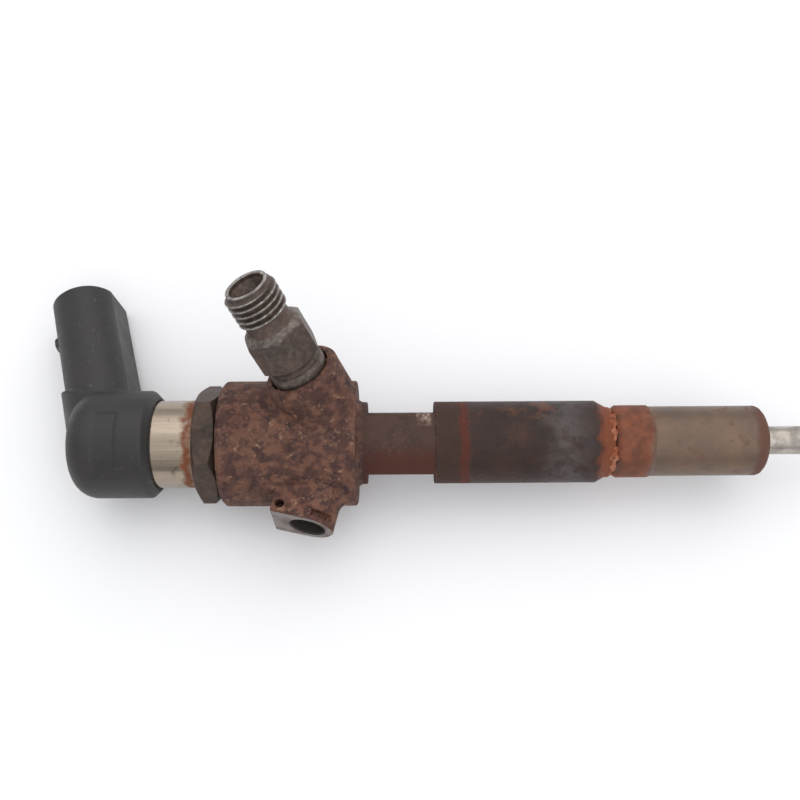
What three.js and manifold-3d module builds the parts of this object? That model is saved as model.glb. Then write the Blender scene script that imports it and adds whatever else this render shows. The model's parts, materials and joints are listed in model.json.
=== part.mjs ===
// Common-rail diesel fuel injector with a stacked-ceramic actuator, about 200 mm long.
// Lengths are millimetres. In the injector's own frame x = 0 is the left face of the body's
// head, +X runs along the axis to the nozzle tip, and a clock angle of 0 points to +Y and
// turns towards +Z. The finished group lies on its head and its connector, bottom at z = 0.
import * as THREE from 'three';
import { mergeVertices } from 'three/addons/utils/BufferGeometryUtils.js';
import Module from 'manifold-3d';

const wasm = await Module();
wasm.setup();

// ---- driving dimensions -------------------------------------------------------------------

// general clearances and facet counts
const SEAT_GAP = 0.3;           // between faces that rest on each other
const FIT_GAP = 0.3;            // radial, between a fixed piece and the bore that holds it
const RUN_GAP = 0.3;            // radial, between a sliding piece and its guide
const FINE = 32;
const COARSE = 16;
const SMALL = 8;
const PAST = 2;                 // how far a cutting tool runs past a surface

// attitude on the table and clocking around the axis, degrees
const LYING_ROLL = -9.6;
const INLET_CLOCK = 68.5;
const RETURN_CLOCK = 180;
const FLATS_CLOCK = 28.5;
const HEX_CLOCK = 13.8;
const LABEL_CLOCK = 116.5;

// body: head, collar, clamp neck, shank, threaded spigot
const HEAD_LENGTH = 31.8;
const HEAD_WALL = 2.7;          // around the actuator nut's thread
const HEAD_CHAMFER = 1.1;
const HEAD_FILLET = 1.7;
const COLLAR_LENGTH = 2.4;
const SHANK_RADIUS = 9.85;
const NECK_LENGTH = 15.9;
const CLAMP_FLATS_WIDTH = 14.3;
const SHANK_LENGTH = 38.2;
const SHANK_CONE_LENGTH = 3.7;
const GROOVE_STEP = 0.75;       // radial, outside the spigot
const SPIGOT_LENGTH = 9.9;
const ACTUATOR_BORE_RADIUS = 9.1;
const ACTUATOR_BORE_DEPTH = 28.5;
const NUT_THREAD_STEP = 1.1;    // radial, outside the sleeve's flange
const NUT_THREAD_DEPTH = 7;
const GALLERY_RADIUS = 10.1;
const GALLERY_START = 16.0;
const GALLERY_END = 25.1;
const FEED_OFFSET = 5;
const FEED_RADIUS = 0.85;

// inlet port on the head
const INLET_CROSSING = 29;    // x where the inlet's axis meets the injector's axis
const INLET_LEAN = 23;          // from square to the injector's axis, towards the connector
const INLET_BOSS_WALL = 2;      // around the connector's collar
const INLET_BOSS_TOP = 24.6;    // heights are measured from the injector's axis
const INLET_BOSS_CHAMFER = 1.1;
const INLET_RECESS_DEPTH = 2.8;
const INLET_THREAD_DEPTH = 4.4;

// screwed-in inlet connector
const INLET_MOUTH = 49;
const INLET_THREAD_RADIUS = 5.9;
const INLET_ROOT_RADIUS = 5.0;
const INLET_THREAD_LENGTH = 8.2;
const INLET_PITCH = 1.75;
const INLET_END_CHAMFER = 0.7;
const INLET_HEX_FLATS = 13.2;
const INLET_HEX_TOP = 38.3;
const INLET_HEX_BOTTOM = 28.4;
const INLET_HEX_TURN = 15;
const INLET_NECK_RADIUS = 5.3;
const INLET_COLLAR_RADIUS = 6.6;
const INLET_COLLAR_LENGTH = 3.3;
const INLET_SPIGOT_RADIUS = 5.0;
const INLET_COLLAR_CHAMFER = 0.6;
const INLET_NECK_FLARE = 0.3;   // radial, where the neck leaves the hexagon
const INLET_MOUTH_RADIUS = 4.05;
const INLET_MOUTH_DEPTH = 1;    // straight part, above the sealing cone
const INLET_CONE_DEPTH = 3.4;
const INLET_PASSAGE_RADIUS = 0.9;
const FILTER_RADIUS = 1.8;
const FILTER_LENGTH = 13;
const FILTER_FLUTES = 6;
const FILTER_FLUTE_WIDTH = 0.4;
const FILTER_FLUTE_DEPTH = 0.5;
const FILTER_FLUTE_STOP = 1;    // each flute stops short of one end, by turns
const SEAL_RING_THICKNESS = 0.8;

// return port on the head
const RETURN_CROSSING = 25.5;
const RETURN_LEAN = 13;
const RETURN_FACE = 22;
const RETURN_ROUND_RADIUS = 6.1;
const RETURN_SQUARE_END = 8.3;  // from the port's axis to the straight end of its face
const RETURN_BORE_RADIUS = 4.05;
const RETURN_BORE_DEPTH = 7.5;
const RETURN_DRILLING_RADIUS = 1.4;
const CLIP_HOLE_RADIUS = 1;
const CLIP_HOLE_OFFSET = 6.5;
const CLIP_HOLE_DROP = 2.2;     // below the port face
const CLIP_SLOT_WIDTH = 1.6;
const CLIP_SLOT_START = 0.8;    // from the port's axis towards the nozzle
const CLIP_SLOT_LENGTH = 4.6;
const CLIP_SLOT_DROP = 1.9;     // below the port face

// actuator nut
const NUT_HEX_LENGTH = 5.4;
const NUT_HEX_STEP = 0.2;       // from the thread's radius out to a flat
const NUT_SPIGOT_LENGTH = 3.7;
const NUT_CHAMFER_ANGLE = 30;
const NUT_CHAMFER_BITE = 0.3;   // inside the flats

// actuator: sleeve, stack, tube spring, plates
const SLEEVE_RADIUS = 10.5;
const SLEEVE_TOP = -32.2;
const SLEEVE_WALL = 2.3;
const SLEEVE_LID = 3.6;
const SLEEVE_FLANGE_STEP = 0.7; // radial, outside the sleeve
const SLEEVE_FLANGE_THICKNESS = 2.7;
const SLEEVE_END_WALL = 3.6;
const SLEEVE_LOWER_LENGTH = 5.9;
const SLEEVE_CHAMFER = 0.5;
const O_RING_SECTION = 0.75;
const O_RING_GROOVE_RADIUS = 7.0;
const O_RING_SQUEEZE_GAP = 0.1;
const STACK_SIDE = 7;
const STACK_LENGTH = 30.6;
const STACK_LAYERS = 9;
const LAYER_GROOVE = 0.25;
const TUBE_WALL = 0.5;
const TUBE_CLEARANCE = 0.4;
const TUBE_SLOTS = 4;
const TUBE_SLOT_ROWS = 3;
const TUBE_SLOT_WIDTH = 1.2;
const TUBE_SLOT_SHARE = 0.6;    // of a row's length
const PLATE_THICKNESS = 2.5;
const PIN_SPACING = 5.0;
const PIN_SIDE = 0.8;

// plastic connector moulded over the sleeve's top
const CAP_WALL = 2.1;           // around the sleeve
const CAP_END_WALL = 3.2;
const CAP_ROUND = 6;
const CAP_LIP = -15.5;
const CAP_LIP_CHAMFER = 1.7;
const TOWER_CROSSING = -27.1;
const TOWER_LEAN = 16.3;
const TOWER_MOUTH = 43;
const TOWER_ROUND_RADIUS = 8.1;
const TOWER_ROUND_CENTRE = [-0.9, 0];
const TOWER_KEY_CORNER = 7.9;   // the keyed corner, towards the nozzle from the tower's axis
const TOWER_KEY_ANGLE = 23.5;
const TOWER_CORNER_RADIUS = 1.6;
const TOWER_WALL = 1.7;
const SOCKET_DEPTH = 15;
const BLADE_REACH = 10;         // blade height above the socket's floor
const CATCH_HEIGHT = 31.6;
const CATCH_LENGTH = 2.8;
const CATCH_PROUD = 0.8;
const CATCH_WIDTH = 4;
const LABEL_RECESS = [5, 16, 0.3];

// levers, servo valve and control piston
const LEVER_THICKNESS = 2.2;
const LEVER_WIDTH = 5;
const LEVER_OUTER_END = 6.3;
const LEVER_INNER_END = 0.7;
const LEVER_INNER_CHAMFER = 0.6;
const PIVOT_RADIUS = 5.3;
const PIVOT_RIB_HEIGHT = 1.5;
const PIVOT_RIB_FOOT = 0.8;     // half widths of the rib, at its foot and its edge
const PIVOT_RIB_EDGE = 0.25;
const RAM_NOSE_RADIUS = 2.5;
const CARRIER_RIM_WALL = 1.6;
const CARRIER_FLOOR = 3.3;
const CARRIER_WINDOW_RADIUS = 1;
const VALVE_PISTON_RADIUS = 1.7;
const VALVE_PISTON_CHAMFER = 0.3;
const SEAT_PLATE_THICKNESS = 6.5;
const VALVE_CHAMBER_DEPTH = 4.2;
const VALVE_CHAMBER_RADIUS = 2.6;
const THROTTLE_RADIUS = 0.5;
const VALVE_STEM_RADIUS = 0.7;
const VALVE_HEAD_RADIUS = 1.95;
const VALVE_HEAD_THICKNESS = 1.1;
const VALVE_SPRING_WIRE = 0.2;
const VALVE_SPRING_RADIUS = 1.7;
const VALVE_SPRING_COILS = 3;
const BUSH_RADIUS = 4.4;
const BUSH_LENGTH = 4.8;
const PISTON_RADIUS = 2.3;
const CONTROL_SPACE = 1;        // length of the control space above the piston
const PISTON_WAIST_RADIUS = 1.8;
const PISTON_LAND_LENGTH = 5;

// nozzle end
const SPACER_THICKNESS = 4;
const NOZZLE_COLLAR_RADIUS = 7;
const NOZZLE_COLLAR_LENGTH = 18.5;
const SPRING_CHAMBER_RADIUS = 2.9;
const SPRING_CHAMBER_LENGTH = 10;
const GUIDE_RADIUS = 1.9;
const GUIDE_LENGTH = 4.5;
const PRESSURE_CHAMBER_RADIUS = 3;
const PRESSURE_CHAMBER_LENGTH = 3;
const NOZZLE_STEM_RADIUS = 3.4;
const NOZZLE_BORE_RADIUS = 1.7;
const NOZZLE_PROJECTION = 24;   // beyond the nozzle nut's end face
const NOZZLE_TIP_CONE = 3.4;
const NOZZLE_TIP_RADIUS = 1.3;
const SAC_WALL = 1.4;
const NEEDLE_RADIUS = 1.3;
const NEEDLE_PIN_RADIUS = 1.1;
const NOZZLE_SPRING_WIRE = 0.35;
const NOZZLE_SPRING_RADIUS = 2.2;
const NOZZLE_SPRING_COILS = 5;
const SPRING_SEAT_THICKNESS = 1.2;
const DOWEL_RADIUS = 0.9;
const DOWEL_BITE = 2.7;

// nozzle nut
const NOZZLE_NUT_LENGTH = 36.2;
const NOZZLE_NUT_WALL = 1.1;    // around the nozzle's collar
const NOZZLE_NUT_BAND_STEP = 0.3;
const NOZZLE_NUT_BAND_LENGTH = 8.4;
const NOZZLE_NUT_CHAMFER = 1.1;
const NOZZLE_NUT_END_TAPER = 1.7;
const NOZZLE_NUT_SEAT_RADIUS = 6;

// ---- sizes that follow from the piece that fits inside ------------------------------------

const NUT_BORE_RADIUS = SLEEVE_RADIUS + FIT_GAP;
const CAP_RADIUS = SLEEVE_RADIUS + FIT_GAP + CAP_WALL;
const SLEEVE_FLANGE_RADIUS = SLEEVE_RADIUS + SLEEVE_FLANGE_STEP;
const NUT_THREAD_RADIUS = SLEEVE_FLANGE_RADIUS + NUT_THREAD_STEP;
const NUT_HEX_FLATS = 2 * (NUT_THREAD_RADIUS + NUT_HEX_STEP);
const HEAD_RADIUS = NUT_THREAD_RADIUS + HEAD_WALL;
const INLET_BOSS_RADIUS = INLET_COLLAR_RADIUS + FIT_GAP + INLET_BOSS_WALL;
const SPIGOT_RADIUS = NOZZLE_COLLAR_RADIUS;
const GROOVE_RADIUS = SPIGOT_RADIUS + GROOVE_STEP;
const NOZZLE_NUT_RADIUS = NOZZLE_COLLAR_RADIUS + FIT_GAP + NOZZLE_NUT_WALL;
const NOZZLE_NUT_BAND_RADIUS = NOZZLE_NUT_RADIUS + NOZZLE_NUT_BAND_STEP;

// ---- helpers ------------------------------------------------------------------------------

const radians = THREE.MathUtils.degToRad;

// A closed three.js geometry as a manifold solid, its faces turned outwards.
function solid(geometry) {
  const bare = new THREE.BufferGeometry();
  bare.setAttribute('position', geometry.attributes.position);
  bare.setIndex(geometry.index);
  const merged = mergeVertices(bare, 1e-4);
  const points = merged.attributes.position.array;
  const index = merged.index.array;
  const triangles = [];
  for (let i = 0; i < index.length; i += 3) {
    const [a, b, c] = [index[i], index[i + 1], index[i + 2]];
    if (a !== b && b !== c && c !== a) triangles.push(a, b, c);
  }
  const corner = (i) => new THREE.Vector3().fromArray(points, 3 * i);
  let volume = 0;
  for (let i = 0; i < triangles.length; i += 3) {
    const across = corner(triangles[i + 1]).cross(corner(triangles[i + 2]));
    volume += corner(triangles[i]).dot(across);
  }
  if (volume < 0) triangles.reverse();
  return new wasm.Manifold(new wasm.Mesh({
    numProp: 3,
    vertProperties: new Float32Array(points),
    triVerts: new Uint32Array(triangles),
  }));
}

// A body of revolution about X from a list of [x, radius] points.
function turned(profile, facets = FINE) {
  const points = profile.map(([x, r]) => new THREE.Vector2(r, x));
  if (profile[0][1] > 0) points.push(points[0].clone());
  return solid(new THREE.LatheGeometry(points, facets).rotateZ(-Math.PI / 2));
}

// A round bar or hole along X.
const round = (x0, x1, radius, facets = COARSE) => (
  turned([[x0, 0], [x0, radius], [x1, radius], [x1, 0]], facets)
);

// A ring along X.
const ring = (x0, x1, outer, inner, facets = FINE) => (
  turned([[x0, inner], [x0, outer], [x1, outer], [x1, inner]], facets)
);

function box(x0, x1, y0, y1, z0, z1) {
  const geometry = new THREE.BoxGeometry(x1 - x0, y1 - y0, z1 - z0);
  return solid(geometry.translate((x0 + x1) / 2, (y0 + y1) / 2, (z0 + z1) / 2));
}

// A flat outline drawn in (y, z) and carried along X from x0 to x1.
function prism(shape, x0, x1) {
  const geometry = new THREE.ExtrudeGeometry(shape, {
    depth: x1 - x0, bevelEnabled: false, curveSegments: COARSE / 2,
  });
  const axes = new THREE.Matrix4().makeBasis(
    new THREE.Vector3(0, 1, 0), new THREE.Vector3(0, 0, 1), new THREE.Vector3(1, 0, 0),
  );
  return solid(geometry.applyMatrix4(axes).translate(x0, 0, 0));
}

function hexagon(acrossFlats, turn) {
  const shape = new THREE.Shape();
  const corners = 6;
  for (let k = 0; k < corners; k += 1) {
    const angle = radians(turn) + (k * 2 * Math.PI) / corners;
    const reach = acrossFlats / 2 / Math.cos(Math.PI / corners);
    if (k) shape.lineTo(reach * Math.cos(angle), reach * Math.sin(angle));
    else shape.moveTo(reach * Math.cos(angle), reach * Math.sin(angle));
  }
  return shape;
}

const moved = (body, matrix) => body.transform(matrix.elements);

const turnedAboutAxis = (body, clock) => moved(body, new THREE.Matrix4().makeRotationX(radians(clock)));

// A straight hole between two points.
function drilling(from, to, radius, facets = SMALL) {
  const along = new THREE.Vector3().subVectors(to, from);
  const turn = new THREE.Quaternion().setFromUnitVectors(
    new THREE.Vector3(1, 0, 0), along.clone().normalize(),
  );
  const place = new THREE.Matrix4().compose(from, turn, new THREE.Vector3(1, 1, 1));
  return moved(round(0, along.length(), radius, facets), place);
}

// The point at a clock angle, at a distance from the axis.
const clocked = (x, distance, clock) => new THREE.Vector3(
  x, distance * Math.cos(radians(clock)), distance * Math.sin(radians(clock)),
);

// The frame of a port: its own +X runs out along the port from the injector's axis, its own
// +Y is square to that axis and its own +Z points towards the nozzle.
function portFrame(crossing, lean, clock) {
  const out = clocked(0, Math.cos(radians(lean)), clock);
  out.x = -Math.sin(radians(lean));
  const side = clocked(0, 1, clock + 90);
  const towardsNozzle = new THREE.Vector3().crossVectors(out, side);
  return new THREE.Matrix4().makeBasis(out, side, towardsNozzle).setPosition(crossing, 0, 0);
}

// A helical spring of round wire about X.
class Helix extends THREE.Curve {
  constructor(x0, x1, radius, coils) {
    super();
    Object.assign(this, { x0, x1, radius, coils });
  }

  getPoint(t, target = new THREE.Vector3()) {
    const angle = t * this.coils * 2 * Math.PI;
    const x = this.x0 + (this.x1 - this.x0) * t;
    return target.set(x, this.radius * Math.cos(angle), this.radius * Math.sin(angle));
  }
}

function spring(x0, x1, radius, wire, coils) {
  const section = new THREE.Shape().absarc(0, 0, wire, 0, 2 * Math.PI);
  const path = new Helix(x0 + wire, x1 - wire, radius, coils);
  const stepsPerCoil = 10;
  return solid(new THREE.ExtrudeGeometry(section, {
    steps: coils * stepsPerCoil, extrudePath: path, curveSegments: 3, bevelEnabled: false,
  }));
}

const joined = (...bodies) => bodies.reduce((all, body) => all.add(body));

const cut = (body, ...tools) => tools.reduce((left, tool) => left.subtract(tool), body);

function mesh(name, body, material) {
  const { vertProperties, triVerts } = body.getMesh();
  const geometry = new THREE.BufferGeometry();
  geometry.setAttribute('position', new THREE.BufferAttribute(vertProperties, 3));
  geometry.setIndex(new THREE.BufferAttribute(triVerts, 1));
  geometry.computeVertexNormals();
  const made = new THREE.Mesh(geometry, material);
  made.name = name;
  return made;
}

const finish = (color, roughness, metalness) => (
  new THREE.MeshStandardMaterial({ color, roughness, metalness })
);

const FINISHES = {
  plastic: () => finish(0x3c3c3e, 0.55, 0),
  contact: () => finish(0xc9b27a, 0.35, 1),
  sleeve: () => finish(0xb4aea8, 0.25, 1),
  nut: () => finish(0x57483f, 0.6, 0.5),
  rust: () => finish(0x6a4a40, 0.8, 0.3),
  inlet: () => finish(0x5a504c, 0.55, 0.6),
  steel: () => finish(0x9a9690, 0.35, 1),
  ground: () => finish(0xb0a8a0, 0.25, 1),
  ceramic: () => finish(0x4a4b45, 0.5, 0),
  spring: () => finish(0x70727a, 0.35, 1),
  seal: () => finish(0x1c1c1c, 0.7, 0),
  copper: () => finish(0xb06a48, 0.4, 1),
};

// ---- stations along the axis --------------------------------------------------------------

const neckStart = HEAD_LENGTH + COLLAR_LENGTH;
const neckEnd = neckStart + NECK_LENGTH;
const shankEnd = neckEnd + SHANK_LENGTH;
const coneEnd = shankEnd + SHANK_CONE_LENGTH;
const bodyEnd = coneEnd + SPIGOT_LENGTH;

const seatPlateEnd = ACTUATOR_BORE_DEPTH - SEAT_GAP;
const seatPlateStart = seatPlateEnd - SEAT_PLATE_THICKNESS;
const valveChamberStart = seatPlateEnd - VALVE_CHAMBER_DEPTH;
const carrierEnd = seatPlateStart - SEAT_GAP;
const carrierFloor = carrierEnd - CARRIER_FLOOR;
const pivotTop = carrierFloor - PIVOT_RIB_HEIGHT;
const leverEnd = pivotTop - SEAT_GAP;
const leverStart = leverEnd - LEVER_THICKNESS;
const ramNose = leverStart - SEAT_GAP;
const flangeEnd = NUT_THREAD_DEPTH - SEAT_GAP;
const flangeStart = flangeEnd - SLEEVE_FLANGE_THICKNESS;
const sleeveEnd = flangeEnd + SLEEVE_LOWER_LENGTH;
const carrierStart = sleeveEnd + SEAT_GAP;
const sleeveFloor = sleeveEnd - SLEEVE_END_WALL;
const sleeveCeiling = SLEEVE_TOP + SLEEVE_LID;
const topPlateStart = sleeveCeiling + SEAT_GAP;
const stackStart = topPlateStart + PLATE_THICKNESS + SEAT_GAP;
const stackEnd = stackStart + STACK_LENGTH;
const ramStart = stackEnd + SEAT_GAP;
const ramDiscEnd = ramStart + PLATE_THICKNESS;
const capEnd = SLEEVE_TOP - SEAT_GAP - CAP_END_WALL;

const bushStart = ACTUATOR_BORE_DEPTH + SEAT_GAP;
const bushEnd = bushStart + BUSH_LENGTH;
const pistonStart = bushStart + CONTROL_SPACE;
const pistonEnd = bodyEnd - SEAT_GAP;
const spacerStart = bodyEnd + SEAT_GAP;
const spacerEnd = spacerStart + SPACER_THICKNESS;
const nozzleStart = spacerEnd + SEAT_GAP;
const collarEnd = nozzleStart + NOZZLE_COLLAR_LENGTH;
const nutEnd = coneEnd + SEAT_GAP + NOZZLE_NUT_LENGTH;
const tipEnd = nutEnd + NOZZLE_PROJECTION;
const guideStart = nozzleStart + SPRING_CHAMBER_LENGTH;
const guideEnd = guideStart + GUIDE_LENGTH;
const pressureEnd = guideEnd + PRESSURE_CHAMBER_LENGTH;

// ---- ports --------------------------------------------------------------------------------

const inletFrame = portFrame(INLET_CROSSING, INLET_LEAN, INLET_CLOCK);
const returnFrame = portFrame(RETURN_CROSSING, RETURN_LEAN, RETURN_CLOCK);
const towerFrame = portFrame(TOWER_CROSSING, TOWER_LEAN, 0);
const recessFloor = INLET_BOSS_TOP - INLET_RECESS_DEPTH;
const inletPocketFloor = recessFloor - INLET_THREAD_DEPTH;

// ---- body ---------------------------------------------------------------------------------

function bodyOutside() {
  const fillet = [];
  const steps = 4;
  for (let k = 0; k <= steps; k += 1) {
    const angle = (k / steps) * (Math.PI / 2);
    fillet.push([
      HEAD_LENGTH + HEAD_FILLET * (1 - Math.cos(angle)),
      SHANK_RADIUS + HEAD_FILLET * (1 - Math.sin(angle)),
    ]);
  }
  return turned([
    [0, 0],
    [0, HEAD_RADIUS - HEAD_CHAMFER],
    [HEAD_CHAMFER, HEAD_RADIUS],
    [HEAD_LENGTH - HEAD_CHAMFER / 4, HEAD_RADIUS],
    [HEAD_LENGTH, HEAD_RADIUS - HEAD_CHAMFER / 4],
    ...fillet,
    [shankEnd, SHANK_RADIUS],
    [coneEnd, GROOVE_RADIUS],
    [coneEnd + SEAT_GAP, SPIGOT_RADIUS],
    [bodyEnd, SPIGOT_RADIUS],
    [bodyEnd, 0],
  ]);
}

function clampFlatCuts() {
  const half = CLAMP_FLATS_WIDTH / 2;
  const reach = SHANK_RADIUS + PAST;
  return [half, -reach].map((low) => turnedAboutAxis(
    box(neckStart, neckEnd, low, low + reach - half, -reach, reach),
    FLATS_CLOCK,
  ));
}

function inletBoss() {
  const outline = turned([
    [ACTUATOR_BORE_RADIUS, 0],
    [ACTUATOR_BORE_RADIUS, INLET_BOSS_RADIUS],
    [INLET_BOSS_TOP - INLET_BOSS_CHAMFER, INLET_BOSS_RADIUS],
    [INLET_BOSS_TOP, INLET_BOSS_RADIUS - INLET_BOSS_CHAMFER],
    [INLET_BOSS_TOP, 0],
  ]);
  // The boss ends flush with the head's end face.
  const side = HEAD_RADIUS + INLET_BOSS_TOP;
  const pastHead = box(HEAD_LENGTH, neckEnd, -side, side, -side, side);
  return cut(moved(outline, inletFrame), pastHead);
}

function returnBoss() {
  const shape = new THREE.Shape();
  shape.absarc(0, 0, RETURN_ROUND_RADIUS, 0, Math.PI);
  shape.lineTo(-RETURN_ROUND_RADIUS, -RETURN_SQUARE_END);
  shape.lineTo(RETURN_ROUND_RADIUS, -RETURN_SQUARE_END);
  return moved(prism(shape, ACTUATOR_BORE_RADIUS, RETURN_FACE), returnFrame);
}

function inletCuts() {
  const recess = round(recessFloor, INLET_BOSS_TOP + PAST, INLET_COLLAR_RADIUS + FIT_GAP, FINE);
  const thread = round(inletPocketFloor, recessFloor + PAST, INLET_SPIGOT_RADIUS + FIT_GAP);
  const pocket = new THREE.Vector3(inletPocketFloor, 0, 0).applyMatrix4(inletFrame);
  const back = new THREE.Vector3(inletPocketFloor + PAST, 0, 0).applyMatrix4(inletFrame);
  const turnIn = clocked(neckStart + COLLAR_LENGTH, FEED_OFFSET, INLET_CLOCK);
  return [
    moved(recess, inletFrame),
    moved(thread, inletFrame),
    drilling(pocket.lerp(back, 0.2), turnIn, FEED_RADIUS),
    drilling(turnIn, clocked(bodyEnd + PAST, FEED_OFFSET, INLET_CLOCK), FEED_RADIUS),
  ];
}

function returnCuts() {
  const port = round(RETURN_FACE - RETURN_BORE_DEPTH, RETURN_FACE + PAST, RETURN_BORE_RADIUS);
  const leak = round(ACTUATOR_BORE_RADIUS, RETURN_FACE, RETURN_DRILLING_RADIUS, SMALL);
  const slotLow = RETURN_FACE - CLIP_SLOT_DROP - CLIP_SLOT_WIDTH / 2;
  const across = RETURN_ROUND_RADIUS + PAST;
  const slotEnd = CLIP_SLOT_START + CLIP_SLOT_LENGTH;
  const slot = box(slotLow, slotLow + CLIP_SLOT_WIDTH, -across, across, CLIP_SLOT_START, slotEnd);
  const hole = drilling(
    new THREE.Vector3(RETURN_FACE - CLIP_HOLE_DROP, -across, -CLIP_HOLE_OFFSET),
    new THREE.Vector3(RETURN_FACE - CLIP_HOLE_DROP, across, -CLIP_HOLE_OFFSET),
    CLIP_HOLE_RADIUS,
  );
  return [port, leak, slot, hole].map((tool) => moved(tool, returnFrame));
}

const dowelClocks = [INLET_CLOCK + 120, INLET_CLOCK + 240];

const dowelHoles = (x0, x1) => dowelClocks.map((clock) => drilling(
  clocked(x0, FEED_OFFSET, clock), clocked(x1, FEED_OFFSET, clock), DOWEL_RADIUS + FIT_GAP,
));

function injectorBody() {
  const bores = turned([
    [-PAST, 0],
    [-PAST, NUT_THREAD_RADIUS],
    [NUT_THREAD_DEPTH, NUT_THREAD_RADIUS],
    [NUT_THREAD_DEPTH, ACTUATOR_BORE_RADIUS],
    [GALLERY_START, ACTUATOR_BORE_RADIUS],
    [GALLERY_START + 1, GALLERY_RADIUS],
    [GALLERY_END - 1, GALLERY_RADIUS],
    [GALLERY_END, ACTUATOR_BORE_RADIUS],
    [ACTUATOR_BORE_DEPTH, ACTUATOR_BORE_RADIUS],
    [ACTUATOR_BORE_DEPTH, BUSH_RADIUS + FIT_GAP],
    [bushEnd + SEAT_GAP, BUSH_RADIUS + FIT_GAP],
    [bushEnd + SEAT_GAP, PISTON_RADIUS + RUN_GAP],
    [bodyEnd + PAST, PISTON_RADIUS + RUN_GAP],
    [bodyEnd + PAST, 0],
  ]);
  return cut(
    joined(cut(bodyOutside(), ...clampFlatCuts()), inletBoss(), returnBoss()),
    bores,
    ...inletCuts(),
    ...returnCuts(),
    ...dowelHoles(bodyEnd - DOWEL_BITE - SEAT_GAP, bodyEnd + PAST),
  );
}

// ---- inlet connector, in the inlet port's frame -------------------------------------------

const collarLow = recessFloor + SEAT_GAP + SEAL_RING_THICKNESS + SEAT_GAP;
const filterBoreEnd = INLET_MOUTH - INLET_MOUTH_DEPTH - INLET_CONE_DEPTH;
const filterBoreStart = filterBoreEnd - FILTER_LENGTH - 2 * SEAT_GAP;

function threadProfile() {
  const points = [];
  const crests = Math.floor((INLET_THREAD_LENGTH - INLET_END_CHAMFER) / INLET_PITCH);
  const start = INLET_MOUTH - INLET_END_CHAMFER - crests * INLET_PITCH;
  for (let k = 0; k < crests; k += 1) {
    const low = start + k * INLET_PITCH;
    points.push([low, INLET_ROOT_RADIUS], [low + INLET_PITCH / 2, INLET_THREAD_RADIUS]);
  }
  return points;
}

function inletConnector() {
  const hexRound = INLET_HEX_FLATS / 2 / Math.cos(Math.PI / 6);
  const outside = turned([
    [inletPocketFloor + SEAT_GAP, 0],
    [inletPocketFloor + SEAT_GAP, INLET_SPIGOT_RADIUS],
    [collarLow, INLET_SPIGOT_RADIUS],
    [collarLow, INLET_COLLAR_RADIUS - INLET_COLLAR_CHAMFER],
    [collarLow + INLET_COLLAR_CHAMFER, INLET_COLLAR_RADIUS],
    [collarLow + INLET_COLLAR_LENGTH - INLET_COLLAR_CHAMFER, INLET_COLLAR_RADIUS],
    [collarLow + INLET_COLLAR_LENGTH, INLET_COLLAR_RADIUS - INLET_COLLAR_CHAMFER],
    [INLET_HEX_TOP, INLET_NECK_RADIUS + INLET_NECK_FLARE],
    [INLET_HEX_TOP + 1, INLET_NECK_RADIUS],
    ...threadProfile(),
    [INLET_MOUTH - INLET_END_CHAMFER, INLET_ROOT_RADIUS],
    [INLET_MOUTH, INLET_ROOT_RADIUS - 0.1],
    [INLET_MOUTH, 0],
  ], FINE);
  const chamferRun = (hexRound - INLET_NECK_RADIUS) * 0.9;
  const hexEnvelope = turned([
    [INLET_HEX_BOTTOM, 0],
    [INLET_HEX_BOTTOM, INLET_COLLAR_RADIUS - INLET_COLLAR_CHAMFER],
    [INLET_HEX_BOTTOM + chamferRun / 2, hexRound],
    [INLET_HEX_TOP - chamferRun, hexRound],
    [INLET_HEX_TOP, INLET_NECK_RADIUS + INLET_NECK_FLARE],
    [INLET_HEX_TOP, 0],
  ]);
  const hex = prism(hexagon(INLET_HEX_FLATS, INLET_HEX_TURN), INLET_HEX_BOTTOM, INLET_HEX_TOP);
  const bore = turned([
    [inletPocketFloor - PAST, 0],
    [inletPocketFloor - PAST, INLET_PASSAGE_RADIUS],
    [filterBoreStart, INLET_PASSAGE_RADIUS],
    [filterBoreStart, FILTER_RADIUS + FIT_GAP],
    [filterBoreEnd, FILTER_RADIUS + FIT_GAP],
    [INLET_MOUTH - INLET_MOUTH_DEPTH, INLET_MOUTH_RADIUS],
    [INLET_MOUTH + PAST, INLET_MOUTH_RADIUS],
    [INLET_MOUTH + PAST, 0],
  ], COARSE);
  return cut(joined(outside, hex.intersect(hexEnvelope)), bore);
}

function edgeFilter() {
  const low = filterBoreStart + SEAT_GAP;
  const half = FILTER_FLUTE_WIDTH / 2;
  const grooves = [];
  for (let k = 0; k < FILTER_FLUTES; k += 1) {
    const shift = k % 2 ? FILTER_FLUTE_STOP : -FILTER_FLUTE_STOP;
    const groove = box(
      low + shift, low + FILTER_LENGTH + shift,
      FILTER_RADIUS - FILTER_FLUTE_DEPTH, FILTER_RADIUS + PAST, -half, half,
    );
    grooves.push(turnedAboutAxis(groove, (k * 360) / FILTER_FLUTES));
  }
  return cut(round(low, low + FILTER_LENGTH, FILTER_RADIUS), ...grooves);
}

// ---- plastic connector and its terminals --------------------------------------------------

// The tower's outline: round, with a flat key side that ends in a square corner at the back.
function towerOutline(inset) {
  const [towardsNozzle, side] = TOWER_ROUND_CENTRE;
  const radius = TOWER_ROUND_RADIUS - inset;
  const back = side - radius;
  const key = TOWER_KEY_CORNER - inset;
  const shape = new THREE.Shape();
  shape.absarc(side, towardsNozzle, radius, radians(90 - TOWER_KEY_ANGLE), -Math.PI, true);
  shape.lineTo(back, key - TOWER_CORNER_RADIUS);
  shape.quadraticCurveTo(back, key, back + TOWER_CORNER_RADIUS, key);
  return shape;
}

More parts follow.
